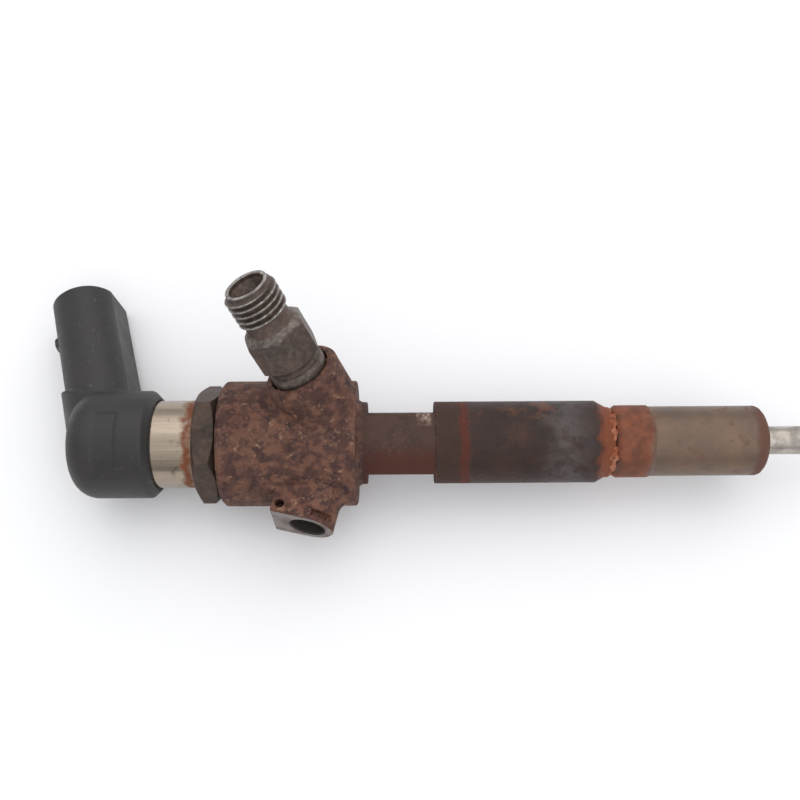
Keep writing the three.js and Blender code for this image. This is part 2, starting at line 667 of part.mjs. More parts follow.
function terminal(side, grow) {
  const offset = (side * PIN_SPACING) / 2;
  const half = PIN_SIDE / 2 + grow;
  const low = offset - half;
  const high = offset + half;
  const shelf = (SLEEVE_RADIUS + FIT_GAP + CAP_RADIUS) / 2;
  const endWall = capEnd + CAP_END_WALL / 2;
  const socketFloor = TOWER_MOUTH - SOCKET_DEPTH;
  const crossing = TOWER_CROSSING - shelf * Math.tan(radians(TOWER_LEAN));
  const foot = shelf / Math.cos(radians(TOWER_LEAN));
  const blade = moved(
    box(foot - half, socketFloor + BLADE_REACH + grow, low, high, -half, half),
    towerFrame,
  );
  const run = box(endWall - half, crossing + half, shelf - half, shelf + half, low, high);
  const drop = box(endWall - half, endWall + half, -half, shelf + half, low, high);
  const pin = box(endWall - half, topPlateStart - SEAT_GAP - grow, -half, half, low, high);
  return joined(blade, run, drop, pin);
}

function connectorCatch() {
  const half = CATCH_LENGTH / 2;
  const wall = TOWER_ROUND_RADIUS - TOWER_ROUND_CENTRE[0];
  const shape = new THREE.Shape();
  shape.moveTo(CATCH_HEIGHT - half, 1 - wall);
  shape.lineTo(CATCH_HEIGHT + half, 1 - wall);
  shape.lineTo(CATCH_HEIGHT + half * 0.4, -wall - CATCH_PROUD);
  shape.lineTo(CATCH_HEIGHT - half * 0.4, -wall - CATCH_PROUD);
  const geometry = new THREE.ExtrudeGeometry(shape, { depth: CATCH_WIDTH, bevelEnabled: false });
  geometry.translate(0, 0, -CATCH_WIDTH / 2).rotateX(Math.PI / 2);
  return moved(solid(geometry), towerFrame);
}

function connectorHousing() {
  const rounding = [];
  const steps = 6;
  for (let k = 0; k <= steps; k += 1) {
    const angle = (k / steps) * (Math.PI / 2);
    rounding.push([
      capEnd + CAP_ROUND * (1 - Math.cos(angle)),
      CAP_RADIUS - CAP_ROUND * (1 - Math.sin(angle)),
    ]);
  }
  const cap = turned([
    [capEnd, 0],
    ...rounding,
    [CAP_LIP - CAP_LIP_CHAMFER, CAP_RADIUS],
    [CAP_LIP, SLEEVE_RADIUS + FIT_GAP + 0.4],
    [CAP_LIP, 0],
  ]);
  const pocket = round(SLEEVE_TOP - SEAT_GAP, CAP_LIP + PAST, SLEEVE_RADIUS + FIT_GAP, FINE);
  const [recessX, recessY, recessDeep] = LABEL_RECESS;
  const recessMiddle = (capEnd + CAP_LIP) / 2;
  const recess = ring(
    recessMiddle - recessX / 2, recessMiddle + recessX / 2, CAP_RADIUS + PAST, CAP_RADIUS - recessDeep,
  ).intersect(box(capEnd, CAP_LIP, -recessY / 2, recessY / 2, 0, CAP_RADIUS + 2 * PAST));
  const tower = moved(prism(towerOutline(0), SLEEVE_RADIUS + 1, TOWER_MOUTH), towerFrame);
  const socket = moved(
    prism(towerOutline(TOWER_WALL), TOWER_MOUTH - SOCKET_DEPTH, TOWER_MOUTH + PAST), towerFrame,
  );
  return cut(
    joined(cap, tower, connectorCatch()),
    pocket,
    socket,
    turnedAboutAxis(recess, LABEL_CLOCK - 90),
    terminal(1, FIT_GAP),
    terminal(-1, FIT_GAP),
  );
}

// ---- actuator -----------------------------------------------------------------------------

function hexWithChamfers(x0, x1, acrossFlats, turn) {
  const corner = acrossFlats / 2 / Math.cos(Math.PI / 6);
  const face = acrossFlats / 2 - NUT_CHAMFER_BITE;
  const run = (corner - face) * Math.tan(radians(NUT_CHAMFER_ANGLE));
  const envelope = turned([
    [x0, 0], [x0, face], [x0 + run, corner], [x1 - run, corner], [x1, face], [x1, 0],
  ]);
  return prism(hexagon(acrossFlats, turn), x0, x1).intersect(envelope);
}

function actuatorNut() {
  const hex = hexWithChamfers(-SEAT_GAP - NUT_HEX_LENGTH, -SEAT_GAP, NUT_HEX_FLATS, HEX_CLOCK);
  const spigot = round(-SEAT_GAP - 1, NUT_SPIGOT_LENGTH, NUT_THREAD_RADIUS - FIT_GAP, FINE);
  const bore = round(-NUT_HEX_LENGTH - PAST, NUT_SPIGOT_LENGTH + PAST, NUT_BORE_RADIUS, FINE);
  return cut(joined(hex, spigot), bore);
}

const lowerRadius = ACTUATOR_BORE_RADIUS - FIT_GAP;
const grooveHalf = O_RING_SECTION + O_RING_SQUEEZE_GAP;
const grooveMiddle = (sleeveFloor + sleeveEnd) / 2;
const stackCorner = (STACK_SIDE / 2) * Math.SQRT2;
const tubeInner = stackCorner + TUBE_CLEARANCE;
const plateRadius = tubeInner + TUBE_WALL;

function actuatorSleeve() {
  const inner = SLEEVE_RADIUS - SLEEVE_WALL;
  const shell = turned([
    [SLEEVE_TOP, 0],
    [SLEEVE_TOP, SLEEVE_RADIUS - SLEEVE_CHAMFER],
    [SLEEVE_TOP + SLEEVE_CHAMFER, SLEEVE_RADIUS],
    [flangeStart, SLEEVE_RADIUS],
    [flangeStart, SLEEVE_FLANGE_RADIUS],
    [flangeEnd, SLEEVE_FLANGE_RADIUS],
    [flangeEnd, lowerRadius],
    [grooveMiddle - grooveHalf, lowerRadius],
    [grooveMiddle - grooveHalf, O_RING_GROOVE_RADIUS],
    [grooveMiddle + grooveHalf, O_RING_GROOVE_RADIUS],
    [grooveMiddle + grooveHalf, lowerRadius],
    [sleeveEnd, lowerRadius],
    [sleeveEnd, RAM_NOSE_RADIUS + RUN_GAP],
    [sleeveFloor, RAM_NOSE_RADIUS + RUN_GAP],
    [sleeveFloor, plateRadius + RUN_GAP],
    [flangeStart, plateRadius + RUN_GAP],
    [flangeStart, inner],
    [sleeveCeiling, inner],
    [sleeveCeiling, 0],
  ]);
  const half = PIN_SIDE / 2 + FIT_GAP;
  const pinHoles = [1, -1].map((side) => box(
    SLEEVE_TOP - PAST, sleeveCeiling + PAST, -half, half,
    (side * PIN_SPACING) / 2 - half, (side * PIN_SPACING) / 2 + half,
  ));
  return cut(shell, ...pinHoles);
}

function oRing() {
  const middle = (lowerRadius + FIT_GAP + O_RING_GROOVE_RADIUS) / 2;
  const facets = 6;
  const section = [];
  for (let k = 0; k < facets; k += 1) {
    const angle = ((k + 0.5) / facets) * 2 * Math.PI;
    section.push([
      grooveMiddle + O_RING_SECTION * Math.cos(angle),
      middle + O_RING_SECTION * Math.sin(angle),
    ]);
  }
  return turned(section, COARSE);
}

function piezoStack() {
  const half = STACK_SIDE / 2;
  const pitch = STACK_LENGTH / STACK_LAYERS;
  const outline = new THREE.Shape();
  outline.moveTo(stackStart, -half);
  for (let k = 1; k < STACK_LAYERS; k += 1) {
    const x = stackStart + k * pitch;
    outline.lineTo(x - LAYER_GROOVE, -half);
    outline.lineTo(x, -half + LAYER_GROOVE);
    outline.lineTo(x + LAYER_GROOVE, -half);
  }
  outline.lineTo(stackEnd, -half);
  outline.lineTo(stackEnd, half);
  outline.lineTo(stackStart, half);
  const geometry = new THREE.ExtrudeGeometry(outline, { depth: STACK_SIDE, bevelEnabled: false });
  return solid(geometry.translate(0, 0, -half));
}

function preloadTube() {
  const tube = ring(topPlateStart + PLATE_THICKNESS + SEAT_GAP, stackEnd, plateRadius, tubeInner, COARSE);
  const rowPitch = STACK_LENGTH / TUBE_SLOT_ROWS;
  const slotLength = rowPitch * TUBE_SLOT_SHARE;
  const half = TUBE_SLOT_WIDTH / 2;
  const slots = [];
  for (let row = 0; row < TUBE_SLOT_ROWS; row += 1) {
    const middle = stackStart + (row + 0.5) * rowPitch;
    for (let k = 0; k < TUBE_SLOTS; k += 1) {
      const slot = box(
        middle - slotLength / 2, middle + slotLength / 2, 0, plateRadius + PAST, -half, half,
      );
      slots.push(turnedAboutAxis(slot, ((k + (row % 2) / 2) * 360) / TUBE_SLOTS));
    }
  }
  return cut(tube, ...slots);
}

function ram() {
  return turned([
    [ramStart, 0],
    [ramStart, plateRadius],
    [ramDiscEnd, plateRadius],
    [ramDiscEnd, RAM_NOSE_RADIUS],
    [ramNose, RAM_NOSE_RADIUS],
    [ramNose, 0],
  ], COARSE);
}

// ---- levers and servo valve ---------------------------------------------------------------

function leverCarrier() {
  const rimInner = lowerRadius - CARRIER_RIM_WALL;
  const dish = turned([
    [carrierStart, rimInner],
    [carrierStart, lowerRadius],
    [carrierEnd, lowerRadius],
    [carrierEnd, VALVE_PISTON_RADIUS + RUN_GAP],
    [carrierFloor, VALVE_PISTON_RADIUS + RUN_GAP],
    [carrierFloor, rimInner],
  ]);
  const rib = new THREE.Shape();
  rib.moveTo(carrierFloor + 1, PIVOT_RADIUS - PIVOT_RIB_FOOT);
  rib.lineTo(carrierFloor + 1, PIVOT_RADIUS + PIVOT_RIB_FOOT);
  rib.lineTo(pivotTop, PIVOT_RADIUS + PIVOT_RIB_EDGE);
  rib.lineTo(pivotTop, PIVOT_RADIUS - PIVOT_RIB_EDGE);
  const ribs = [0, 180].map((clock) => {
    const geometry = new THREE.ExtrudeGeometry(rib, { depth: LEVER_WIDTH, bevelEnabled: false });
    return turnedAboutAxis(solid(geometry.translate(0, 0, -LEVER_WIDTH / 2)), clock);
  });
  const windows = [RETURN_CLOCK + 45, RETURN_CLOCK - 45].map((clock) => drilling(
    clocked(GALLERY_START + 1, rimInner - PAST, clock),
    clocked(GALLERY_START + 1, lowerRadius + PAST, clock),
    CARRIER_WINDOW_RADIUS,
  ));
  return cut(joined(dish, ...ribs), ...windows);
}

function lever(side) {
  const half = LEVER_WIDTH / 2;
  const shape = new THREE.Shape();
  shape.moveTo(leverStart, LEVER_INNER_END + LEVER_INNER_CHAMFER);
  shape.lineTo(leverStart, LEVER_OUTER_END);
  shape.lineTo(leverEnd, LEVER_OUTER_END);
  shape.lineTo(leverEnd, LEVER_INNER_END);
  shape.lineTo(leverEnd - LEVER_THICKNESS / 2, LEVER_INNER_END);
  const geometry = new THREE.ExtrudeGeometry(shape, { depth: LEVER_WIDTH, bevelEnabled: false });
  return turnedAboutAxis(solid(geometry.translate(0, 0, -half)), side > 0 ? 0 : 180);
}

const valvePistonStart = leverEnd + SEAT_GAP;
const valvePistonEnd = carrierEnd - SEAT_GAP;
const valveStemStart = valvePistonEnd + SEAT_GAP;
const valveHeadStart = valveChamberStart + SEAT_GAP;
const valveHeadEnd = valveHeadStart + VALVE_HEAD_THICKNESS;

const valvePiston = () => turned([
  [valvePistonStart, 0],
  [valvePistonStart, VALVE_PISTON_RADIUS - VALVE_PISTON_CHAMFER],
  [valvePistonStart + VALVE_PISTON_CHAMFER, VALVE_PISTON_RADIUS],
  [valvePistonEnd, VALVE_PISTON_RADIUS],
  [valvePistonEnd, 0],
], COARSE);

const mushroomValve = () => turned([
  [valveStemStart, 0],
  [valveStemStart, VALVE_STEM_RADIUS],
  [valveHeadStart - 0.1, VALVE_STEM_RADIUS],
  [valveHeadStart + 0.5, VALVE_HEAD_RADIUS],
  [valveHeadEnd, VALVE_HEAD_RADIUS],
  [valveHeadEnd, 0],
], COARSE);

function valveSeatPlate() {
  const plate = turned([
    [seatPlateStart, VALVE_STEM_RADIUS + RUN_GAP],
    [seatPlateStart, lowerRadius],
    [seatPlateEnd, lowerRadius],
    [seatPlateEnd, VALVE_CHAMBER_RADIUS],
    [valveChamberStart, VALVE_CHAMBER_RADIUS],
    [valveChamberStart, VALVE_STEM_RADIUS + RUN_GAP],
  ]);
  const throttle = drilling(
    clocked(seatPlateStart - PAST, (lowerRadius + VALVE_CHAMBER_RADIUS) / 2, INLET_CLOCK),
    clocked(seatPlateEnd + PAST, (lowerRadius + VALVE_CHAMBER_RADIUS) / 2, INLET_CLOCK),
    THROTTLE_RADIUS,
  );
  return cut(plate, throttle);
}

const controlPiston = () => turned([
  [pistonStart, 0],
  [pistonStart, PISTON_RADIUS],
  [pistonStart + PISTON_LAND_LENGTH, PISTON_RADIUS],
  [pistonStart + PISTON_LAND_LENGTH + 1, PISTON_WAIST_RADIUS],
  [pistonEnd - PISTON_LAND_LENGTH - 1, PISTON_WAIST_RADIUS],
  [pistonEnd - PISTON_LAND_LENGTH, PISTON_RADIUS],
  [pistonEnd, PISTON_RADIUS],
  [pistonEnd, 0],
], COARSE);

// ---- nozzle -------------------------------------------------------------------------------

const nozzleHoleStart = nutEnd + NOZZLE_PROJECTION - NOZZLE_TIP_CONE - 1;
const sacEnd = tipEnd - SAC_WALL;

function nozzleBody() {
  const stemStart = collarEnd + 2;
  const outside = turned([
    [nozzleStart, 0],
    [nozzleStart, NOZZLE_COLLAR_RADIUS],
    [collarEnd, NOZZLE_COLLAR_RADIUS],
    [collarEnd, NOZZLE_STEM_RADIUS + 0.2],
    [stemStart, NOZZLE_STEM_RADIUS],
    [tipEnd - NOZZLE_TIP_CONE - 1, NOZZLE_STEM_RADIUS],
    [tipEnd - NOZZLE_TIP_CONE, NOZZLE_STEM_RADIUS - 0.5],
    [tipEnd - 0.9, NOZZLE_TIP_RADIUS],
    [tipEnd - 0.25, NOZZLE_TIP_RADIUS * 0.7],
    [tipEnd, 0],
  ]);
  const inside = turned([
    [nozzleStart - PAST, 0],
    [nozzleStart - PAST, SPRING_CHAMBER_RADIUS],
    [guideStart, SPRING_CHAMBER_RADIUS],
    [guideStart, GUIDE_RADIUS + RUN_GAP],
    [guideEnd, GUIDE_RADIUS + RUN_GAP],
    [guideEnd + 0.6, PRESSURE_CHAMBER_RADIUS],
    [pressureEnd - 1, PRESSURE_CHAMBER_RADIUS],
    [pressureEnd, NOZZLE_BORE_RADIUS],
    [nozzleHoleStart, NOZZLE_BORE_RADIUS],
    [sacEnd - 0.6, 0.5],
    [sacEnd, 0],
  ], COARSE);
  const feed = drilling(
    clocked(nozzleStart - 0.5, FEED_OFFSET + 0.3, INLET_CLOCK),
    clocked(guideEnd + PRESSURE_CHAMBER_LENGTH / 2, PRESSURE_CHAMBER_RADIUS - 0.3, INLET_CLOCK),
    FEED_RADIUS * 0.8,
  );
  return cut(outside, inside, feed, ...dowelHoles(nozzleStart - PAST, nozzleStart + DOWEL_BITE + SEAT_GAP));
}

const springSeatEnd = guideStart - SEAT_GAP;
const springSeatStart = springSeatEnd - SPRING_SEAT_THICKNESS;

function nozzleNeedle() {
  const needleTip = sacEnd - 1.2;
  return turned([
    [pistonEnd + SEAT_GAP, 0],
    [pistonEnd + SEAT_GAP, NEEDLE_PIN_RADIUS],
    [springSeatEnd, NEEDLE_PIN_RADIUS],
    [springSeatEnd + 0.6, GUIDE_RADIUS],
    [guideEnd, GUIDE_RADIUS],
    [guideEnd + 1, NEEDLE_RADIUS],
    [nozzleHoleStart - 0.4, NEEDLE_RADIUS],
    [needleTip, 0],
  ], COARSE);
}

const springSeat = () => ring(
  springSeatStart, springSeatEnd, SPRING_CHAMBER_RADIUS - RUN_GAP, NEEDLE_PIN_RADIUS + FIT_GAP, COARSE,
);

function spacerPlate() {
  const plate = ring(spacerStart, spacerEnd, NOZZLE_COLLAR_RADIUS, NEEDLE_PIN_RADIUS + RUN_GAP);
  const feed = drilling(
    clocked(spacerStart - PAST, FEED_OFFSET, INLET_CLOCK),
    clocked(spacerEnd + PAST, FEED_OFFSET, INLET_CLOCK),
    FEED_RADIUS,
  );
  return cut(plate, feed, ...dowelHoles(spacerStart - PAST, spacerEnd + PAST));
}

const dowelPin = (clock) => drilling(
  clocked(bodyEnd - DOWEL_BITE, FEED_OFFSET, clock),
  clocked(nozzleStart + DOWEL_BITE, FEED_OFFSET, clock),
  DOWEL_RADIUS,
);

function nozzleNut() {
  const start = coneEnd + SEAT_GAP;
  const bandEnd = start + NOZZLE_NUT_BAND_LENGTH;
  const holeRadius = NOZZLE_STEM_RADIUS + 0.2 + FIT_GAP;
  const boreRadius = NOZZLE_COLLAR_RADIUS + FIT_GAP;
  return turned([
    [start, boreRadius],
    [start, NOZZLE_NUT_BAND_RADIUS - NOZZLE_NUT_CHAMFER],
    [start + NOZZLE_NUT_CHAMFER, NOZZLE_NUT_BAND_RADIUS],
    [bandEnd, NOZZLE_NUT_BAND_RADIUS],
    [bandEnd + 0.5, NOZZLE_NUT_RADIUS],
    [nutEnd - NOZZLE_NUT_END_TAPER, NOZZLE_NUT_RADIUS],
    [nutEnd - NOZZLE_NUT_END_TAPER / 2, NOZZLE_NUT_RADIUS - 0.8],
    [nutEnd, NOZZLE_NUT_SEAT_RADIUS],
    [nutEnd, holeRadius],
    [collarEnd + SEAT_GAP, holeRadius],
    [collarEnd + SEAT_GAP, boreRadius],
  ]);
}

// ---- assembly -----------------------------------------------------------------------------

const injector = new THREE.Group();
injector.name = 'fuel_injector';
const axis = new THREE.Group();
injector.add(axis);

axis.add(
  mesh('connector_housing', connectorHousing(), FINISHES.plastic()),
  mesh('terminal_positive', terminal(1, 0), FINISHES.contact()),
  mesh('terminal_negative', terminal(-1, 0), FINISHES.contact()),
  mesh('actuator_sleeve', actuatorSleeve(), FINISHES.sleeve()),
  mesh('actuator_o_ring', oRing(), FINISHES.seal()),
  mesh(
    'actuator_top_plate',
    round(topPlateStart, topPlateStart + PLATE_THICKNESS, plateRadius),
    FINISHES.steel(),
  ),
  mesh('piezo_stack', piezoStack(), FINISHES.ceramic()),
  mesh('preload_tube', preloadTube(), FINISHES.spring()),
  mesh('actuator_ram', ram(), FINISHES.steel()),
  mesh('actuator_nut', actuatorNut(), FINISHES.nut()),
  mesh('injector_body', injectorBody(), FINISHES.rust()),
  mesh('lever_carrier', leverCarrier(), FINISHES.steel()),
  mesh('lever_a', lever(1), FINISHES.steel()),
  mesh('lever_b', lever(-1), FINISHES.steel()),
  mesh('valve_piston', valvePiston(), FINISHES.ground()),
  mesh('valve_seat_plate', valveSeatPlate(), FINISHES.steel()),
  mesh('mushroom_valve', mushroomValve(), FINISHES.ground()),
  mesh('valve_spring', spring(
    valveHeadEnd + SEAT_GAP, bushStart - SEAT_GAP, VALVE_SPRING_RADIUS, VALVE_SPRING_WIRE, VALVE_SPRING_COILS,
  ), FINISHES.spring()),
  mesh('piston_guide', ring(bushStart, bushEnd, BUSH_RADIUS, PISTON_RADIUS + RUN_GAP), FINISHES.ground()),
  mesh('control_piston', controlPiston(), FINISHES.ground()),
  mesh('spacer_plate', spacerPlate(), FINISHES.steel()),
  mesh('nozzle_body', nozzleBody(), FINISHES.ground()),
  mesh('nozzle_needle', nozzleNeedle(), FINISHES.ground()),
  mesh('needle_spring_seat', springSeat(), FINISHES.steel()),
  mesh('nozzle_spring', spring(
    nozzleStart + SEAT_GAP, springSeatStart - SEAT_GAP,
    NOZZLE_SPRING_RADIUS, NOZZLE_SPRING_WIRE, NOZZLE_SPRING_COILS,
  ), FINISHES.spring()),
  mesh('nozzle_nut', nozzleNut(), FINISHES.rust()),
);
dowelClocks.forEach((clock, k) => {
  axis.add(mesh(`dowel_pin_${k + 1}`, dowelPin(clock), FINISHES.steel()));
});

const inlet = new THREE.Group();
inlet.applyMatrix4(inletFrame);
axis.add(inlet);
inlet.add(
  mesh('inlet_connector', inletConnector(), FINISHES.inlet()),
  mesh('inlet_seal_ring', ring(
    recessFloor + SEAT_GAP, recessFloor + SEAT_GAP + SEAL_RING_THICKNESS,
    INLET_COLLAR_RADIUS - 0.1, INLET_SPIGOT_RADIUS + FIT_GAP,
  ), FINISHES.copper()),
  mesh('edge_filter', edgeFilter(), FINISHES.steel()),
);

// Lay the injector on its head and connector, with the middle of its box over the origin.
axis.rotation.x = radians(LYING_ROLL);
injector.updateMatrixWorld(true);
const bounds = new THREE.Box3().setFromObject(injector, true);
const middle = bounds.getCenter(new THREE.Vector3());
axis.position.set(-middle.x, -middle.y, -bounds.min.z);

export default injector;
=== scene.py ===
"""A used common-rail fuel injector lying on a pale table. Metres, +X towards the nozzle."""

import bpy
import json
import math
import numpy as np
from mathutils import Matrix, Vector


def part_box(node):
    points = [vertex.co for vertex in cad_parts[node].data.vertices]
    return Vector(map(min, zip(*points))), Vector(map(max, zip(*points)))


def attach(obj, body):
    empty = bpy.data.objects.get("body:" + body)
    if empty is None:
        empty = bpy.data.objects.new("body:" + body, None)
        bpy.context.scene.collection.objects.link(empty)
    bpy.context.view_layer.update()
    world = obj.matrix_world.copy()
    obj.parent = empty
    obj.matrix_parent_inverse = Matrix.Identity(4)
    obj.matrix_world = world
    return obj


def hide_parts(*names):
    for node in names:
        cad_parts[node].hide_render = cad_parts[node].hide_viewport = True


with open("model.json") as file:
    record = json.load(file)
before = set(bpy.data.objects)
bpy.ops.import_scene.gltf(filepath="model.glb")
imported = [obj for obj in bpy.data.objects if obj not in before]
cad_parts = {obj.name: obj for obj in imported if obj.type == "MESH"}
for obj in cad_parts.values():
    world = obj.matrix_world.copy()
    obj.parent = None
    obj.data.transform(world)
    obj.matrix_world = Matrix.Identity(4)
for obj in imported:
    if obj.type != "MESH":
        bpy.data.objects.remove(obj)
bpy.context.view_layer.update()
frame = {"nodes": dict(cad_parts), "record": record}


# ---- view, table and light ------------------------------------------------------------------
# The camera stands nearly over the injector, square to its axis. The table is a plain pale
# top. Most of the light comes from the room itself, with two wide soft sources to model it.

MM = 0.001
axis_low, axis_high = (np.array(corner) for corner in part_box("nozzle_nut"))
axis_middle = (axis_low + axis_high) / 2
head_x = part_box("injector_body")[0][0]
VIEW_ELEVATION = math.radians(71.1)
VIEW_ROLL = math.radians(-0.38)
VIEW_DISTANCE = 221 * MM
VIEW_STATION = 42.0 * MM
VIEW_LIFT = 10.26 * MM

look = Vector((0, math.cos(VIEW_ELEVATION), -math.sin(VIEW_ELEVATION)))
level = Vector((1, 0, 0))
above = level.cross(look)
aim = Vector((head_x + VIEW_STATION, axis_middle[1], axis_middle[2])) + above * VIEW_LIFT
right = level * math.cos(VIEW_ROLL) + above * math.sin(VIEW_ROLL)
upward = above * math.cos(VIEW_ROLL) - level * math.sin(VIEW_ROLL)

camera_data = bpy.data.cameras.new("camera")
camera_data.sensor_width = 36
camera_data.lens = 41.4
camera_data.clip_start = 0.01
camera = bpy.data.objects.new("camera", camera_data)
turn = Matrix((right, upward, -look)).transposed().to_4x4()
camera.matrix_world = Matrix.Translation(aim - look * VIEW_DISTANCE) @ turn
bpy.context.collection.objects.link(camera)
bpy.context.scene.camera = camera


def area_light(name, place, size, watts, tint):
    """A square light of that size, turned to face the middle of the injector."""
    data = bpy.data.lights.new(name, "AREA")
    data.size = size
    data.energy = watts
    data.color = tint
    light = bpy.data.objects.new(name, data)
    light.location = place
    light.rotation_euler = (aim - Vector(place)).to_track_quat("-Z", "Y").to_euler()
    bpy.context.collection.objects.link(light)


area_light("far_window", (0.05, 0.42, 0.62), 0.8, 1.3, (1.0, 0.98, 0.95))
area_light("near_fill", (0.25, -0.4, 0.5), 0.8, 0.9, (0.97, 0.98, 1.0))

world = bpy.data.worlds.new("room")
world.use_nodes = True
bpy.context.scene.world = world
bpy.context.scene.view_settings.view_transform = "Standard"


def placed(tree, kind, inputs=None, **settings):
    """A new node; inputs hold plain values or the sockets that feed them."""
    node = tree.nodes.new(kind)
    for name, value in settings.items():
        setattr(node, name, value)
    for name, value in (inputs or {}).items():
        if isinstance(value, bpy.types.NodeSocket):
            tree.links.new(value, node.inputs[name])
        else:
            node.inputs[name].default_value = value
    return node


def paint(code):
    """A colour written as six hexadecimal digits, as linear light."""
    parts = [int(code[k:k + 2], 16) / 255 for k in (0, 2, 4)]
    return (*[((c + 0.055) / 1.055) ** 2.4 if c > 0.04 else c / 12.92 for c in parts], 1)


def mixed(tree, share, first, second):
    """The first colour, with the second over it where share is 1."""
    node = placed(tree, "ShaderNodeMix", {0: share, 6: first, 7: second}, data_type="RGBA")
    return node.outputs[2]


def sums(tree, operation, first, second, clamp=False):
    """One step of arithmetic on two numbers."""
    node = placed(tree, "ShaderNodeMath", {0: first, 1: second}, operation=operation)
    node.use_clamp = clamp
    return node.outputs[0]


# The room is brightest overhead and on the far side, and dim towards the near wall.
tree = world.node_tree
heading = placed(tree, "ShaderNodeSeparateXYZ", {0: placed(tree, "ShaderNodeTexCoord").outputs["Generated"]})
overhead = sums(tree, "MULTIPLY", sums(tree, "MAXIMUM", heading.outputs[2], 0.0), 0.75)
brightness = sums(tree, "ADD", sums(tree, "ADD", 0.42, overhead), sums(
    tree, "MULTIPLY", heading.outputs[1], 0.14))
tree.nodes["Background"].inputs["Color"].default_value = (0.985, 0.988, 1.0, 1)
tree.links.new(sums(tree, "MAXIMUM", brightness, 0.12), tree.nodes["Background"].inputs["Strength"])

table_finish = bpy.data.materials.new("table_top")
table_finish.use_nodes = True
tree = table_finish.node_tree
spot = placed(tree, "ShaderNodeTexCoord").outputs["Object"]
smear = placed(tree, "ShaderNodeTexNoise", {"Vector": spot, "Scale": 9.0, "Detail": 3.0}).outputs[0]
tree.nodes["Principled BSDF"].inputs["Roughness"].default_value = 0.5
tree.links.new(
    mixed(tree, smear, paint("f5f6f8"), paint("f9f9fb")),
    tree.nodes["Principled BSDF"].inputs["Base Color"],
)
table_mesh = bpy.data.meshes.new("table_top")
reach = 3.0
table_mesh.from_pydata(
    [(-reach, -reach, 0), (reach, -reach, 0), (reach, reach, 0), (-reach, reach, 0)],
    [], [(0, 1, 2, 3)],
)
table_top = bpy.data.objects.new("table_top", table_mesh)
table_mesh.materials.append(table_finish)
bpy.context.collection.objects.link(table_top)


# ---- actuator sleeve ------------------------------------------------------------------------
# A thin-walled steel cup that holds the ceramic stack. It is turned and polished, with rust
# creeping out from under the nut and a few dark stains and scratches.

mounts = {mount["name"]: mount for mount in frame["record"]["mounts"]}
plug_way = np.array(mounts["connector_rim"]["axis"])
clock_zero = np.array([0, plug_way[1], plug_way[2]])
clock_zero /= np.linalg.norm(clock_zero)
ALONG = np.array([1.0, 0, 0])
axis_frame = (
    np.array([head_x, axis_middle[1], axis_middle[2]]), ALONG, clock_zero, np.cross(ALONG, clock_zero),
)


def skin(name, where, along, across, over, closed=False):
    """A mesh from a grid of points given along, across and over in a frame.

    Rows follow one another along the profile and columns run once round it. The last row
    joins the first on a closed ring; otherwise both ends are closed at their middle point.
    """
    origin, first, second, third = where
    along, across, over = np.broadcast_arrays(along, across, over)
    rows, columns = along.shape
    points = (
        origin + MM * (along[..., None] * first + across[..., None] * second + over[..., None] * third)
    ).reshape(-1, 3)
    row = np.arange(rows if closed else rows - 1)[:, None] * columns
    next_row = (row + columns) % (rows * columns)
    column = np.arange(columns)[None, :]
    next_column = (column + 1) % columns
    quads = np.stack(
        [row + column, row + next_column, next_row + next_column, next_row + column], axis=-1,
    ).reshape(-1, 4).tolist()
    if not closed:
        poles = np.array([points[:columns].mean(axis=0), points[-columns:].mean(axis=0)])
        start = np.arange(columns)
        after = (start + 1) % columns
        count = len(points)
        last = count - columns
        first_cap = np.stack([np.full(columns, count), after, start], axis=-1)
        last_cap = np.stack([np.full(columns, count + 1), last + start, last + after], axis=-1)
        quads += first_cap.tolist() + last_cap.tolist()
        points = np.concatenate([points, poles])
    mesh = bpy.data.meshes.new(name)
    mesh.from_pydata(points.tolist(), [], quads)
    mesh.shade_smooth()
    mesh.set_sharp_from_angle(angle=math.radians(38))
    piece = bpy.data.objects.new(name, mesh)
    bpy.context.collection.objects.link(piece)
    return piece


def filled(profile, step):
    """The profile's corners with more points between them, at most a step apart."""
    profile = np.array(profile, float)
    parts = []
    for start, end in zip(profile[:-1], profile[1:]):
        count = max(1, int(np.ceil(np.linalg.norm(end - start) / step)))
        parts.append(start + (end - start) * np.arange(count)[:, None] / count)
    return np.concatenate([*parts, profile[-1:]])


def round_about(name, where, profile, step=0.6, columns=160, closed=False):
    """A turned piece: every profile point (along, radius) carried round the axis."""
    dense = filled(profile, step)
    clock = np.linspace(0, 2 * np.pi, columns, endpoint=False)[None, :]
    along, radius = dense[:, :1], dense[:, 1:]
    return skin(name, where, along, radius * np.cos(clock), radius * np.sin(clock), closed)


def effect(name, inputs, outputs):
    """An empty shader node group with those inputs (name, default) and outputs."""
    group = bpy.data.node_groups.new(name, "ShaderNodeTree")
    for label, value in inputs:
        kind = "NodeSocketVector" if value is None else "NodeSocketFloat"
        socket = group.interface.new_socket(label, in_out="INPUT", socket_type=kind)
        if value is not None:
            socket.default_value = value
    for label in outputs:
        group.interface.new_socket(label, in_out="OUTPUT", socket_type="NodeSocketFloat")
    return group, group.nodes.new("NodeGroupInput"), group.nodes.new("NodeGroupOutput")


